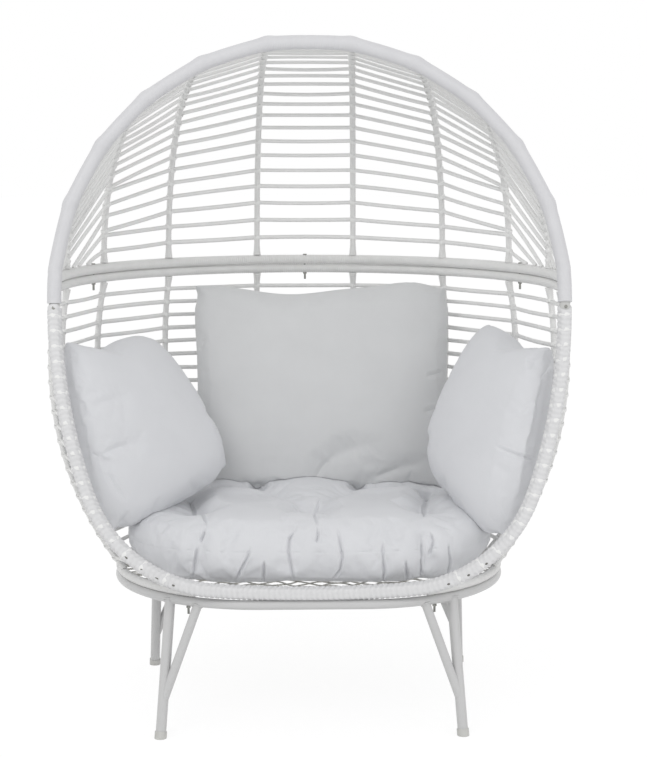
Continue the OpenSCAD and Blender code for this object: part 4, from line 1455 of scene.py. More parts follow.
@dataclass
class Hood(Half):
    """The upper half of the egg.

    Attributes:
        rim_pitch: width of a turn on the rim.
        rim_full: by what share the rim's wrap is fuller where a rib comes in.
        rim_reach: how far along the rim that goes.
    """

    name: str = "hood"
    seed: int = 70
    loop_seed: int = 80
    full_reach: float = 0.020
    full_more: float = 0.40
    rim_pitch: float = 0.0036
    rim_full: float = 0.13
    rim_reach: float = 0.013

    def panels(self) -> tuple[list[Strand], list[Strand]]:
        """Returns the strands of the right side and of the back."""
        return self.egg.hood_side(), self.egg.hood_back()

    def rim(self) -> None:
        """Wraps the round rim, a little fuller where a rib comes in."""
        egg = self.egg
        path = hood_rim_route(egg)
        swell = np.ones(len(path))
        for _, top in egg.hood_places:
            for side in (1, -1):
                at = egg.hood_rim_point(side * top)
                near = np.linalg.norm(path - at, axis=1)
                swell += self.rim_full * np.exp(-(near / self.rim_reach) ** 2)
        winding = Winding(egg.hood_wrap_d / 2 - 0.0004, 0.0005, self.rim_pitch, sides=20,
                          slant=0.0010)
        complete(winding.along("hood_rim_winding", path, swell), RIM_CANE, "rim_wrap",
                 "hood_rim_wrap")

    def bands(self) -> None:
        """Wraps the hood's level tube."""
        egg = self.egg
        self.band("hood_base_winding", "hood_base_wrap",
                  Winding(egg.hood_base_wrap_d / 2 + 0.0002, 0.0013, self.band_pitch,
                          slant=-0.0012),
                  split_route(egg, egg.hood_tube_z, egg.hood_base_wrap_d, egg.hood_wrap_d))

    def crossed(self) -> list[tuple[Rib, list[float]]]:
        """Returns the ribs on the right, each with the heights at which rows cross it."""
        egg = self.egg
        crossed = []
        for i in range(len(egg.hood_places)):
            count = {3: egg.fourth_rows(), 4: egg.rib_four_rows}.get(i, egg.hood_rows)
            crossed.append((egg.hood_rib(i), [
                egg.paired_row(k) if i == 2 else egg.hood_row(i, k, count)
                for k in range(1, count + 1)]))
        return crossed


@dataclass
class SeatNet:
    """The diamond net that carries the seat cushion.

    Attributes:
        egg: the plan.
        pitch: spacing of its cords.
        d: diameter of a cord.
        angle: slope of its cords, in degrees from the chair's width.
        count: cords to each side of the middle one.
        lay: length in which a cord twists once.
        slack: how far a cord strays from its line.
        step: how far apart a cord's rings lie.
        reach: how far from the middle a cord may run.
        tuck: how far the net goes into the wraps round it.
        sides: sides of a cord's round.
        yarn: by what share its two yarns make it oval.
    """

    egg: EggPlan
    pitch: float = 0.029
    d: float = 0.0034
    angle: float = 32.0
    count: int = 20
    lay: float = 0.016
    slack: float = 0.004
    step: float = 0.004
    reach: float = 0.7
    tuck: float = 0.003
    sides: int = 6
    yarn: float = 0.22

    def build(self) -> None:
        """Builds and dresses the net."""
        chance = np.random.default_rng(11)
        cords = []
        for side in (-1, 1):
            for k in range(-self.count, self.count + 1):
                for line in self.runs(side, k, chance):
                    cords.append(self.cord(line))
        complete(join("seat_net_cords", cords), NET, "net", "seat_net")

    def inside(self, x: float, y: float) -> bool:
        """Tells whether a point, with y from the rim's low front, lies in the net's field."""
        egg = self.egg
        inset = egg.floor_wrap_d / 2 - self.tuck
        if y < egg.basket_wrap_d / 2 - self.tuck or y > egg.ring_depth - inset:
            return False
        x = abs(x)
        if y < egg.ring_front_r:
            r, cy = egg.ring_front_r, egg.ring_front_r
        elif y > egg.ring_depth - egg.ring_back_r:
            r, cy = egg.ring_back_r, egg.ring_depth - egg.ring_back_r
        else:
            return x < egg.ring_half_w - inset
        cx = egg.ring_half_w - r
        return x < cx or math.hypot(x - cx, y - cy) < r - inset

    def runs(self, side: int, k: int, chance: np.random.Generator) -> list[Rows]:
        """Returns the stretches of one cord that lie in the field, slightly astray."""
        way = np.array([cosd(self.angle), side * sind(self.angle)])
        start = np.array([k * self.pitch / sind(self.angle), self.egg.ring_depth / 2])
        phase = chance.uniform(0, TAU, 3)
        across = np.array([-way[1], way[0]])
        runs, run = [], []
        for t in np.arange(-self.reach, self.reach, self.step):
            stray = self.slack * (math.sin(t * 43 + phase[0]) + math.sin(t * 97 + phase[1])) / 2
            p = start + way * t + across * stray
            if self.inside(p[0], p[1]):
                z = self.egg.floor_z + side * self.d * 0.45 * math.sin(t * 60 + phase[2])
                run.append([p[0], p[1] - self.egg.middle_y, z])
            elif run:
                runs.append(np.array(run))
                run = []
        return [r for r in runs if len(r) > 3]

    def cord(self, line: Rows) -> Piece:
        """Models a twisted cord of two yarns along a line."""
        sides = self.sides
        points = []
        for i, p in enumerate(line):
            way = unit(line[min(i + 1, len(line) - 1)] - line[max(i - 1, 0)])
            across = unit(np.cross([0, 0, 1.0], way))
            up = np.cross(way, across)
            turn = TAU * i * self.step / self.lay
            for j in range(sides):
                a = TAU * j / sides
                r = self.d / 2 * (1 + self.yarn * math.cos(2 * (a - turn)))
                points.append(p + r * (math.cos(a) * across + math.sin(a) * up))
        faces = sleeve(len(line), sides, False)
        faces += [list(range(sides))[::-1],
                  [(len(line) - 1) * sides + j for j in range(sides)]]
        made = build_mesh("cord", points, faces)
        layer = made.data.uv_layers.new(name="UVMap")
        for loop in made.data.loops:
            ring, j = divmod(loop.vertex_index, sides)
            layer.data[loop.index].uv = (j / sides + ring * self.step / self.lay, ring / 10)
        return made


# ---------- cushions ----------


class Face(Enum):
    """The side of a cushion that a crease is pressed into, by the way that meets it."""

    FRONT = (0.0, 1.0, 0.0)
    TOP = (0.0, 0.0, -1.0)


@dataclass(frozen=True)
class Fold:
    """A crease in a cover.

    Attributes:
        line: its points, as x and z on a front, or as x and y on a top.
        depth: how deep it is pressed in.
        width: its half width.
        face: the side that it lies on.
        tapers: whether it runs out at its ends.
    """

    line: Pairs
    depth: float
    width: float
    face: Face = Face.FRONT
    tapers: bool = True

    def laid(self, cover: BVHTree) -> Rows:
        """Returns the crease's points on a cover, a few millimetres apart."""
        flat = np.array([(a, b, 0.0) for a, b in self.line])
        points = []
        for a, b, _ in resample(flat, 0.003):
            start = Vector((a, -2.0, b)) if self.face is Face.FRONT else Vector((a, b, 2.0))
            hit = cover.ray_cast(start, Vector(self.face.value))[0]
            if hit is not None:
                points.append(hit)
        return np.array(points)


# A stuffed canvas cover as cloth: light, firm in its weave and easy to bend
COVER_CLOTH = {"quality": 4, "mass": 0.25, "tension_stiffness": 12, "compression_stiffness": 12,
               "shear_stiffness": 4, "bending_stiffness": 0.35, "use_pressure": True,
               "vertex_group_mass": "held"}


@dataclass
class Cushion:
    """A stuffed cushion, blown up as cloth from the solid that holds its place.

    Attributes:
        node: the solid that it replaces.
        name: name of the finished piece.
        finish: its cover.
        slot: the record's slot for it.
        fill: how tight it is, from 0 to 1; not used.
        seam: line of the sewn edge.
        seam_rise: how far the seam stands out; below 0 it is drawn in.
        inset: how far the start lies inside the solid, away from the edge.
        growth: share by which the cover is larger than the start, which wrinkles it.
        lobes: places on the top that stand up or sink.
        stretch: its size before it is blown up, since its edges then draw in.
        sag: how far its low part hangs down.
        sag_reach: how far back from its front that part reaches.
        sag_below: the height below which it hangs.
        corners: the pillow's corners.
        rounding: how far its corners are drawn in.
        round_reach: how far from a corner that goes.
        valleys: broad dips between the lobes.
        folds: sharp creases.
        proud: how far the cover may stand out of the solid, towards the sitter.
        skin: how far it may stand out elsewhere.
        pressure: pressure of the stuffing.
        cap: how far a point may move.
        voxel: size of the cover's cells before it is blown up.
        soften: how often the start is smoothed.
        spare: how much the solid is thickened for a moment, so that thin edges keep cells.
        frames: steps of the simulation.
    """

    node: str
    name: str
    finish: Finish
    slot: str
    fill: float
    seam: Rows
    seam_rise: float = 0.0
    inset: float = 0.001
    growth: float = 0.02
    lobes: Lobes = ()
    stretch: float = 1.0
    sag: float = 0.0
    sag_reach: float = 1.0
    sag_below: float = 0.0
    corners: Triples = ()
    rounding: float = 0.020
    round_reach: float = 0.050
    valleys: tuple[Fold, ...] = ()
    folds: tuple[Fold, ...] = ()
    proud: float = 0.011
    skin: float = 0.0004
    pressure: float = 4.0
    cap: float = 0.008
    voxel: float = 0.006
    soften: int = 3
    spare: float = 0.004
    frames: int = 20

    def start(self, nodes: Nodes) -> Piece:
        """Copies the solid, gives it even cells and draws it in behind its edge."""
        piece = put_in_scene(self.name, nodes[self.node].data.copy())
        piece.data.name = self.name
        edit(piece)
        bpy.ops.mesh.remove_doubles(threshold=1e-5)
        bpy.ops.mesh.normals_make_consistent(inside=False)
        bpy.ops.object.mode_set(mode="OBJECT")
        push_out(piece, self.spare)
        cells = piece.modifiers.new("cells", "REMESH")
        cells.mode = "VOXEL"
        cells.voxel_size = self.voxel
        soften = piece.modifiers.new("soften", "SMOOTH")
        soften.iterations = self.soften
        apply_all(piece)
        rows = coordinates(piece.data)
        near = nearest(rows, self.seam)[0]
        inset = self.spare + self.inset * (1 - np.exp(-(near / 0.030) ** 2))
        rows -= normals(piece.data) * inset[:, None]
        middle = rows.mean(0)
        put_coordinates(piece.data, middle + (rows - middle) * self.stretch)
        return piece

    def plump(self, piece: Piece) -> None:
        """Rounds the corners, raises the lobes and lets the low part hang."""
        rows = coordinates(piece.data)
        middle = rows.mean(0)
        for corner in self.corners:
            at = np.array(corner)
            near = np.exp(-(np.linalg.norm(rows - at, axis=1) / self.round_reach) ** 2)
            rows += unit(middle - at) * (self.rounding * near)[:, None]
        rows[:, 2] -= self.sag * self.hanging(rows)
        up = np.clip(normals(piece.data)[:, 2] * 2, 0, 1)
        for x, y, reach, rise in self.lobes:
            far = np.hypot(rows[:, 0] - x, rows[:, 1] - y)
            rows[:, 2] += rise * up * np.exp(-(far / reach) ** 2)
        put_coordinates(piece.data, rows)

    def hanging(self, rows: Rows) -> Rows:
        """Returns how far each row belongs to the part that hangs, from 0 to 1."""
        front = self.seam[:, 1].min()
        return (np.clip((front + self.sag_reach - rows[:, 1]) / 0.08, 0, 1)
                * np.clip((self.sag_below - rows[:, 2]) / 0.045, 0, 1))

    def blow(self, piece: Piece) -> None:
        """Blows the cover up as cloth, with its valleys held, and caps its travel."""
        before = coordinates(piece.data)
        held = np.zeros(len(before))
        cover = surface(piece)
        for fold in self.valleys:
            near = nearest(before, fold.laid(cover))[0]
            held = np.maximum(held, np.clip(1.4 - near / 0.008, 0, 1))
        group = piece.vertex_groups.new(name="held")
        for i in np.nonzero(held > 0.01)[0]:
            group.add([int(i)], float(held[i]), "REPLACE")
        pick(piece)
        bpy.ops.object.modifier_add(type="CLOTH")
        cloth = piece.modifiers[-1]
        rules = cloth.settings
        for name, value in COVER_CLOTH.items():
            setattr(rules, name, value)
        rules.uniform_pressure_force = self.pressure
        rules.shrink_min = -self.growth
        rules.shrink_max = -self.growth
        rules.effector_weights.gravity = 0
        cloth.collision_settings.use_collision = False
        cloth.point_cache.frame_start = 1
        cloth.point_cache.frame_end = self.frames
        for frame in range(1, self.frames + 1):
            bpy.context.scene.frame_set(frame)
        bpy.ops.object.modifier_apply(modifier=cloth.name)
        bpy.context.scene.frame_set(1)
        moved = coordinates(piece.data) - before
        far = np.maximum(np.linalg.norm(moved, axis=1), 1e-9)
        put_coordinates(piece.data, before + moved * np.minimum(1, self.cap / far)[:, None])
        deselect()

    def press(self, piece: Piece, folds: tuple[Fold, ...],
              sharp: bool = False) -> None:
        """Presses creases into the cover, each with a soft lip on both sides."""
        cover = surface(piece)
        rows = coordinates(piece.data)
        rise = np.zeros(len(rows))
        for fold in folds:
            line = fold.laid(cover)
            close = boxed(rows, line, 4 * fold.width)
            near, share = nearest(rows[close], line)
            force = fold.depth * np.ones(len(close))
            if fold.tapers:
                force *= np.clip(np.minimum(share, 1 - share) * 4.5, 0, 1)
            rise[close] -= force * np.exp(-(near / fold.width) ** (1 if sharp else 2))
            rise[close] += 0.25 * force * np.exp(-((near - 2.2 * fold.width) / fold.width) ** 2)
        push_out(piece, rise)

    def refine(self, piece: Piece) -> None:
        """Cuts the cells finer along the sharp creases and the seam."""
        cover = surface(piece)
        rows = coordinates(piece.data)
        close = nearest(rows, self.seam)[0] < 0.006
        for fold in self.folds:
            line = fold.laid(cover)
            reach = 2.6 * fold.width + 0.003
            box = boxed(rows, line, reach)
            close[box] |= nearest(rows[box], line)[0] < reach
        edit(piece)
        bpy.ops.mesh.select_all(action="DESELECT")
        bpy.ops.object.mode_set(mode="OBJECT")
        chosen = [all(close[v] for v in face.vertices) for face in piece.data.polygons]
        piece.data.polygons.foreach_set("select", chosen)
        bpy.ops.object.mode_set(mode="EDIT")
        bpy.ops.mesh.select_mode(type="FACE")
        bpy.ops.mesh.subdivide(number_cuts=2, smoothness=0.0)
        bpy.ops.object.mode_set(mode="OBJECT")

    def sew(self, piece: Piece) -> None:
        """Presses the seam into the cover, or lets it stand out as piping."""
        near = nearest(coordinates(piece.data), self.seam)[0]
        rise = self.seam_rise * np.exp(-(near / 0.0022) ** 2)
        push_out(piece, rise)

    def hold_in(self, piece: Piece, nodes: Nodes) -> None:
        """Keeps the cover near the solid: it swells towards the sitter and sags."""
        room = surface(nodes[self.node])
        rows = coordinates(piece.data)
        out = normals(piece.data)
        inward = (out * unit_rows(np.array(SITTER) - rows)).sum(1)
        limit = (self.skin + self.proud * np.clip(inward * 2 + 1.2, 0, 1)
                 + self.sag * self.hanging(rows))
        for i, row in enumerate(rows):
            at, normal, _, _ = room.find_nearest(Vector(row))
            out_by = (Vector(row) - at).dot(normal)
            if out_by > 0:
                kept = limit[i] * math.tanh(out_by / limit[i])
                rows[i] = row - np.array(normal) * (out_by - kept)
        put_coordinates(piece.data, rows)

    def build(self, nodes: Nodes, others: list[Piece],
              cane: tuple[str, ...] = ()) -> Piece:
        """Makes the whole cushion, clear of the cushions made before it and of the cane."""
        piece = self.start(nodes)
        self.plump(piece)
        self.press(piece, self.valleys)
        self.blow(piece)
        self.hold_in(piece, nodes)
        finer = piece.modifiers.new("finer", "SUBSURF")
        finer.levels = finer.render_levels = 1
        apply_all(piece)
        self.refine(piece)
        self.press(piece, self.folds, sharp=True)
        self.sew(piece)
        for other in others:
            keep_clear(piece, other, 0.050)
        for name in cane:
            keep_clear(piece, nodes[name], 0.006)
        pick(piece)
        bpy.ops.object.shade_smooth()
        deselect()
        replace(piece, self.finish, self.slot, self.node)
        return piece


def normals(mesh: bpy.types.Mesh) -> Rows:
    """Returns a mesh's point normals as rows."""
    flat = np.empty(len(mesh.vertices) * 3)
    mesh.vertex_normals.foreach_get("vector", flat)
    return flat.reshape(-1, 3)


def push_out(piece: Piece, by: Rows | float) -> None:
    """Moves a piece's points outwards, each by its own length or all by one."""
    put_coordinates(piece.data, coordinates(piece.data)
                    + normals(piece.data) * np.reshape(by, (-1, 1)))


def boxed(rows: Rows, line: Rows, reach: float) -> Rows:
    """Returns the places of the rows that lie in a line's box, made larger by a reach."""
    return np.nonzero(((rows > line.min(0) - reach) & (rows < line.max(0) + reach)).all(1))[0]


def nearest(rows: Rows, line: Rows) -> tuple[Rows, Rows]:
    """Returns each row's distance to a line, and where along it, as a share of its points."""
    best = np.full(len(rows), 9.0)
    share = np.zeros(len(rows))
    for i, (a, b) in enumerate(zip(line, line[1:])):
        d = b - a
        t = np.clip(((rows - a) @ d) / float(d @ d), 0, 1)
        far = np.linalg.norm(rows - a - np.outer(t, d), axis=1)
        closer = far < best
        best[closer] = far[closer]
        share[closer] = (i + t[closer]) / (len(line) - 1)
    return best, share


def surface(piece: Piece) -> BVHTree:
    """Returns a piece's mesh as it is now, ready to be searched."""
    bpy.context.view_layer.update()
    return BVHTree.FromPolygons([v.co for v in piece.data.vertices],
                                [f.vertices for f in piece.data.polygons])


def keep_clear(piece: Piece, other: Piece, reach: float,
               gap: float = 0.0008) -> None:
    """Pushes the points of a piece that lie in another piece out of it, within a reach."""
    tree = surface(other)
    rows = coordinates(piece.data)
    for i in boxed(rows, coordinates(other.data), gap):
        at, normal, _, _ = tree.find_nearest(Vector(rows[i]), reach)
        if at is not None and (Vector(rows[i]) - at).dot(normal) < gap:
            rows[i] = at + normal * gap
    put_coordinates(piece.data, rows)


@dataclass
class Cushions:
    """The four loose cushions.

    The side cushions slump, so their sewn corners are given as shares of their
    width from their middles: low front, low back, high back, high front.
    """

    egg: EggPlan
    seat_half_w: float = 0.392
    seat_depth: float = 0.520
    seat_front: float = 0.012
    seam_h: float = 0.389
    back_w: float = 0.596
    back_l: float = 0.470
    back_lean: float = 16.0
    back_taper: float = 0.96
    back_mid: Triple = (0.036, 0.508, 0.668)
    back_bow: tuple[float, ...] = (0.02, 0.02, 0.0, 0.04)
    # The back's top corners stand up and its middle sinks
    back_lobes: Lobes = (
        (-0.040, 0.200, 0.110, -0.016), (-0.245, 0.200, 0.050, 0.010),
        (0.235, 0.200, 0.060, 0.012))
    side_w: float = 0.360
    side_bow: tuple[float, ...] = (-0.15, -0.04, -0.06, 0.02)
    left_mid: Triple = (-0.369, 0.261, 0.635)
    left_corners: Triples = (
        (-0.15, -0.42, -0.60), (0.53, 0.25, -0.33), (0.01, 0.55, 0.41), (-0.40, -0.31, 0.47))
    right_mid: Triple = (-0.397, 0.246, 0.636)
    right_corners: Triples = (
        (-0.03, -0.46, -0.66), (0.38, 0.23, -0.28), (-0.04, 0.51, 0.49), (-0.31, -0.27, 0.43))
    # Between their high corners the side cushions sink
    left_lobes: Lobes = (
        (-0.456, -0.103, 0.070, -0.020), (-0.510, -0.215, 0.045, 0.012))
    right_lobes: Lobes = (
        (0.466, -0.095, 0.072, -0.024), (0.505, -0.215, 0.045, 0.014))
    # The seat's tufts: front left, middle and right, then the row behind, left to right
    tufts: Pairs = (
        (-0.243, -0.183), (0.0, -0.178), (0.243, -0.183),
        (-0.268, 0.015), (-0.112, 0.035), (0.112, 0.035), (0.268, 0.015))
    # Which tufts a valley joins, and how deep it is
    joined: tuple[tuple[int, int, float], ...] = (
        (3, 0, 0.021), (3, 4, 0.013), (4, 1, 0.004), (1, 5, 0.004), (5, 6, 0.013), (6, 2, 0.021))
    # Where a valley runs out from a tuft to the edge, and how deep it is
    loose_valleys: tuple[tuple[int, tuple[float, float], float], ...] = (
        (4, (-0.118, 0.105), 0.016), (5, (0.118, 0.105), 0.016),
        (3, (-0.345, 0.030), 0.006), (6, (0.345, 0.030), 0.005))
    # The seat's lobes: x, y, reach and rise
    lobes: Lobes = (
        (-0.315, -0.110, 0.080, 0.002), (0.315, -0.110, 0.080, 0.010),
        (-0.140, -0.060, 0.085, -0.012), (0.140, -0.060, 0.085, -0.012),
        (-0.285, 0.062, 0.032, 0.010), (0.285, 0.062, 0.042, 0.026),
        (0.0, 0.065, 0.068, 0.023), (-0.190, 0.065, 0.062, 0.024), (0.200, 0.065, 0.065, 0.017))
    # Creases over the seat's crown, as x and y
    crown_creases: tuple[Pairs, ...] = (
        ((-0.236, -0.190), (-0.226, -0.250), (-0.218, -0.305)),
        ((-0.042, -0.120), (-0.026, -0.160), (-0.006, -0.190)),
        ((0.026, -0.090), (0.004, -0.190), (0.006, -0.270), (0.014, -0.330)),
        ((0.250, -0.080), (0.244, -0.190), (0.236, -0.270)))
    # Creases down the seat's front, as x and z
    front_creases: tuple[Pairs, ...] = (
        ((-0.221, 0.434), (-0.224, 0.420), (-0.231, 0.402)),
        ((-0.235, 0.400), (-0.240, 0.372), (-0.247, 0.326)),
        ((-0.126, 0.402), (-0.134, 0.376), (-0.160, 0.322)),
        ((-0.099, 0.374), (-0.100, 0.318)),
        ((-0.030, 0.441), (-0.046, 0.415), (-0.048, 0.390), (-0.036, 0.318)),
        ((0.014, 0.436), (0.013, 0.424), (0.009, 0.408)),
        ((0.053, 0.440), (0.058, 0.410), (0.063, 0.378), (0.058, 0.348), (0.040, 0.320)),
        ((0.147, 0.412), (0.146, 0.386), (0.150, 0.344), (0.147, 0.310)),
        ((0.194, 0.370), (0.200, 0.318)),
        ((0.229, 0.418), (0.228, 0.374), (0.228, 0.316)),
        ((0.246, 0.422), (0.252, 0.403), (0.243, 0.370)),
        ((0.285, 0.400), (0.290, 0.358), (0.285, 0.320)))

    def build(self, nodes: Nodes) -> None:
        """Makes the seat, then the back, then the two side cushions that lean on them."""
        seat = self.seat().build(nodes, [])
        back = self.back().build(nodes, [seat], ("basket_back_cords",))
        for cushion, word in ((self.left(), "left"), (self.right(), "right")):
            cushion.build(nodes, [seat, back], (f"basket_{word}_cords",
                                                f"basket_{word}_rib_wraps", "basket_rim_wrap"))

    def sewn_edge(self, corners: list[Rows], bow: tuple[float, ...]) -> Rows:
        """Returns the line of a pillow's sewn edge, from its corners and its bows."""
        line = []
        steps = np.linspace(-1, 1, 17)
        around = ([(u, -1.0) for u in steps] + [(1.0, v) for v in steps]
                  + [(u, 1.0) for u in steps[::-1]] + [(-1.0, v) for v in steps[::-1]])
        for u, v in around:
            x = u * (1 - (bow[0] if u < 0 else bow[1]) * (1 - v * v))
            y = v * (1 - (bow[2] if v < 0 else bow[3]) * (1 - u * u))
            line.append(((1 - x) * (1 - y) * corners[0] + (1 + x) * (1 - y) * corners[1]
                         + (1 + x) * (1 + y) * corners[2] + (1 - x) * (1 + y) * corners[3]) / 4)
        edge = np.array(line)
        edge[:, 1] -= self.egg.middle_y
        return edge[np.append(np.linalg.norm(np.diff(edge, axis=0), axis=1) > 1e-6, True)]

    def placed(self, corners: list[Rows],
               hand: int = 1) -> Triples:
        """Returns a pillow's corners in the shared frame."""
        return tuple((c[0] * hand, c[1] - self.egg.middle_y, c[2]) for c in corners)

    def seat(self) -> Cushion:
        """Plans the seat: seven tufts with valleys between, a seam and smocked creases."""
        valleys = [Fold((self.tufts[a], self.tufts[b]), depth, 0.019, Face.TOP, False)
                   for a, b, depth in self.joined]
        valleys += [Fold((self.tufts[k], end), depth, 0.011, Face.TOP, False)
                    for k, end, depth in self.loose_valleys]
        valleys += [Fold(((x, 0.436), (x * 1.02, 0.340)), depth, 0.018)
                    for x, depth in ((-0.232, 0.009), (-0.045, 0.004), (0.236, 0.009))]
        folds = [Fold(((x - 0.004, y), (x + 0.004, y)), 0.012 if x else 0.004, 0.007,
                      Face.TOP, False) for x, y in self.tufts]
        folds += [Fold((self.tufts[a], self.tufts[b]), 0.005, 0.0030, Face.TOP, False)
                  for a, b, depth in self.joined if depth > 0.01]
        folds += [Fold(line, 0.006, 0.0024, Face.TOP) for line in self.crown_creases]
        folds += [Fold(line, 0.007, 0.0024) for line in self.front_creases]
        return Cushion("seat_cushion", "seat_cushion_cover", CANVAS, "seat_fabric", 0.55,
                       self.seat_seam(self.seam_h), seam_rise=-0.0014, lobes=self.lobes,
                       sag=0.013, sag_reach=0.12, sag_below=self.seam_h,
                       valleys=tuple(valleys), folds=tuple(folds), proud=0.028, inset=0.003,
                       growth=0.03, cap=0.009, soften=8)

    def seat_seam(self, z: float) -> Rows:
        """Returns the seam round the seat's side at a height."""
        line = []
        middle = self.seat_front + self.seat_depth / 2 - self.egg.middle_y
        for a in np.linspace(0, 360, 73):
            power = 3.0 if sind(a) < 0 else 2.4
            r = 1 / (abs(cosd(a)) ** power + abs(sind(a)) ** power) ** (1 / power)
            line.append([r * cosd(a) * self.seat_half_w,
                         middle + r * sind(a) * self.seat_depth / 2, z])
        return np.array(line)

    def back(self) -> Cushion:
        """Plans the back cushion, creased where the seat and the right cushion press on it."""
        across = np.array([self.back_w / 2, 0, 0])
        up = self.back_l / 2 * np.array([0, sind(self.back_lean), cosd(self.back_lean)])
        middle = np.array(self.back_mid)
        low = across * self.back_taper
        corners = [middle - low - up, middle + low - up, middle + across + up,
                   middle - across + up]
        valleys = (Fold(((0.010, 0.474), (0.035, 0.499), (0.065, 0.524), (0.132, 0.546)),
                        0.006, 0.014),
                   Fold(((0.130, 0.460), (0.212, 0.492), (0.270, 0.503)), 0.004, 0.010))
        folds = (Fold(((0.014, 0.464), (0.034, 0.496), (0.052, 0.512)), 0.003, 0.005),
                 Fold(((0.150, 0.468), (0.212, 0.492)), 0.002, 0.004),
                 Fold(((0.262, 0.616), (0.308, 0.622)), 0.003, 0.005),
                 Fold(((0.270, 0.694), (0.314, 0.701)), 0.003, 0.005),
                 Fold(((-0.246, 0.748), (-0.234, 0.778)), 0.002, 0.005))
        # Its cover is the darker copy of the canvas: painted shade
        return Cushion("back_cushion", "back_cushion_cover", SHADED_BACK_CANVAS, "back_fabric", 0.6,
                       self.sewn_edge(corners, self.back_bow), corners=self.placed(corners),
                       stretch=1.045, sag=0.014, sag_below=0.500, lobes=self.back_lobes,
                       valleys=valleys, folds=folds)

    def left(self) -> Cushion:
        """Plans the left cushion."""
        valleys = (Fold(((-0.462, 0.677), (-0.430, 0.689), (-0.400, 0.690)), 0.004, 0.008),
                   Fold(((-0.430, 0.583), (-0.404, 0.594), (-0.370, 0.595)), 0.004, 0.008))
        folds = (Fold(((-0.440, 0.580), (-0.404, 0.593), (-0.380, 0.595)), 0.002, 0.004),
                 Fold(((-0.424, 0.545), (-0.402, 0.505), (-0.384, 0.480)), 0.003, 0.006))
        return self.side("left", self.left_mid, self.left_corners, 1, self.left_lobes,
                         valleys, folds)

    def right(self) -> Cushion:
        """Plans the right cushion, with one long crease to its edge."""
        valleys = (Fold(((0.430, 0.580), (0.476, 0.562)), 0.005, 0.009),
                   Fold(((0.470, 0.690), (0.438, 0.608), (0.424, 0.546), (0.412, 0.470)),
                        0.003, 0.010))
        folds = (Fold(((0.385, 0.594), (0.426, 0.580), (0.450, 0.572), (0.476, 0.562)),
                      0.004, 0.003),
                 Fold(((0.438, 0.664), (0.462, 0.690)), 0.002, 0.005),
                 Fold(((0.480, 0.732), (0.507, 0.760)), 0.003, 0.005))
        return self.side("right", self.right_mid, self.right_corners, -1, self.right_lobes,
                         valleys, folds)

    def side(self, word: str, middle: Triple,
             corners: Triples, hand: int,
             lobes: Lobes,
             valleys: tuple[Fold, ...], folds: tuple[Fold, ...]) -> Cushion:
        """Plans a side cushion; hand is 1 for the left and -1 for the right."""
        at = [np.array(middle) + self.side_w * np.array(c) for c in corners]
        edge = self.sewn_edge(at, self.side_bow)
        edge[:, 0] *= hand
        return Cushion(f"{word}_cushion", f"{word}_cushion_cover", CANVAS, "side_fabric", 0.55,
                       edge, corners=self.placed(at, hand), stretch=1.075, sag=0.010,
                       sag_below=0.560, lobes=lobes, valleys=valleys, folds=folds)


# ---------- studio ----------


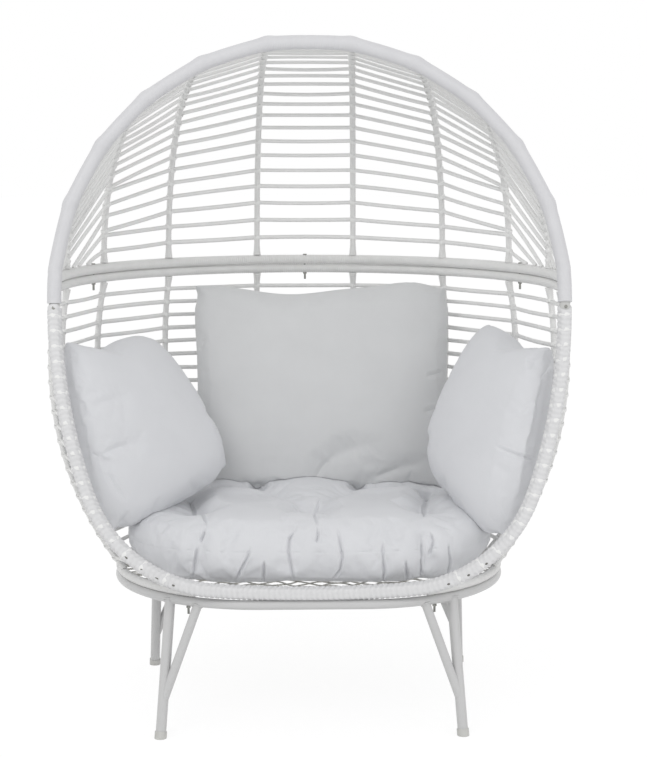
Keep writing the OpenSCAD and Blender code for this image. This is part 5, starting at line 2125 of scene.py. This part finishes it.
@dataclass
class Studio:
    """A pale floor, soft light and the camera.

    Attributes:
        eye: the camera's place.
        pitch: how far it looks down, in degrees.
        yaw: how far it is turned towards +X, in degrees.
        focal_px: its focal length in picture elements of a tall frame.
        frame_px: that frame's height.
        sensor_mm: its sensor along the frame's height.
        world_level: strength of the even light from all round.
        lamps: name, place, size and power of each lamp.
        aim: where the lamps look.
    """

    eye: Triple = (-0.085, -4.0086, 1.2514)
    pitch: float = 7.787
    yaw: float = 1.70
    focal_px: float = 1821.0
    frame_px: float = 757.0
    sensor_mm: float = 36.0
    world_level: float = 0.80
    lamps: tuple[tuple[str, Triple, float, float], ...] = (
        ("key", (-1.7, -3.2, 3.4), 2.6, 36.0), ("fill", (2.3, -2.9, 1.9), 2.4, 14.0))
    aim: Triple = (0, 0, 0.75)

    def build(self) -> None:
        """Sets up the camera, the lights, the world and the floor."""
        scene = bpy.context.scene
        scene.view_settings.view_transform = "Standard"
        self.camera(scene)
        for name, at, size, power in self.lamps:
            self.lamp(name, at, size, power)
        self.world(scene)
        self.floor()

    def camera(self, scene: bpy.types.Scene) -> None:
        """Places the camera."""
        data = bpy.data.cameras.new("camera")
        data.sensor_width = self.sensor_mm
        data.lens = self.focal_px / self.frame_px * self.sensor_mm
        data.clip_end = 60
        made = put_in_scene("camera", data)
        made.location = self.eye
        made.rotation_euler = (math.radians(90 - self.pitch), 0, math.radians(-self.yaw))
        scene.camera = made

    def lamp(self, name: str, at: Triple, size: float,
             power: float) -> None:
        """Hangs a square soft lamp that looks at the chair."""
        data = bpy.data.lights.new(name, "AREA")
        data.size = size
        data.energy = power
        made = put_in_scene(name, data)
        made.location = at
        made.rotation_euler = (Vector(self.aim) - Vector(at)).to_track_quat("-Z", "Y").to_euler()

    def world(self, scene: bpy.types.Scene) -> None:
        """Lights the chair evenly and shows white to the camera and in reflections."""
        scene.world = bpy.data.worlds.new("studio")
        tree = bare_tree(scene.world)
        level = add(tree, "ShaderNodeMapRange", {"To Min": self.world_level, "To Max": 1.0},
                    {"Value": self.seen(tree)})
        back = add(tree, "ShaderNodeBackground", {"Color": (1, 1, 1, 1)},
                   {"Strength": level.outputs[0]})
        add(tree, "ShaderNodeOutputWorld", None, {"Surface": back.outputs[0]})

    def seen(self, tree: bpy.types.NodeTree) -> bpy.types.NodeSocket:
        """Returns a socket that is 1 for what the camera sees, also in gloss and glass."""
        path = add(tree, "ShaderNodeLightPath")
        seen = path.outputs["Is Camera Ray"]
        for ray in ("Is Glossy Ray", "Is Transmission Ray"):
            seen = add(tree, "ShaderNodeMath", {"operation": "MAXIMUM"},
                       {0: seen, 1: path.outputs[ray]}).outputs[0]
        return seen

    def floor(self) -> None:
        """Lays a white floor that keeps the chair's shadow and fades into the world."""
        deselect()
        bpy.ops.mesh.primitive_plane_add(size=60)
        floor = bpy.context.object
        floor.name = "floor"
        made = bpy.data.materials.new("studio_floor")
        tree = bare_tree(made)
        matt = add(tree, "ShaderNodeBsdfDiffuse", {"Color": linear("f4f4f4")})
        lit = add(tree, "ShaderNodeEmission", {"Color": (1, 1, 1, 1), "Strength": 1.08})
        both = add(tree, "ShaderNodeMixShader", {"Fac": 0.80},
                   {1: matt.outputs[0], 2: lit.outputs[0]})
        chosen = add(tree, "ShaderNodeMixShader", None,
                     {0: self.seen(tree), 1: matt.outputs[0], 2: both.outputs[0]})
        add(tree, "ShaderNodeOutputMaterial", None, {"Surface": chosen.outputs[0]})
        floor.data.materials.append(made)


def main() -> None:
    """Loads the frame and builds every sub-assembly round it."""
    logging.basicConfig(level=logging.INFO, format="%(message)s")
    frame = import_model()
    deselect()
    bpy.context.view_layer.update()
    nodes = frame["nodes"]
    Studio().build()
    egg = EggPlan()
    cane = Cane()
    Base(egg).build(nodes)
    Fittings().build(nodes)
    Basket(egg, cane).build()
    Hood(egg, cane).build()
    SeatNet(egg).build()
    Cushions(egg).build(nodes)
    deselect()


if __name__ == "__main__":
    main()
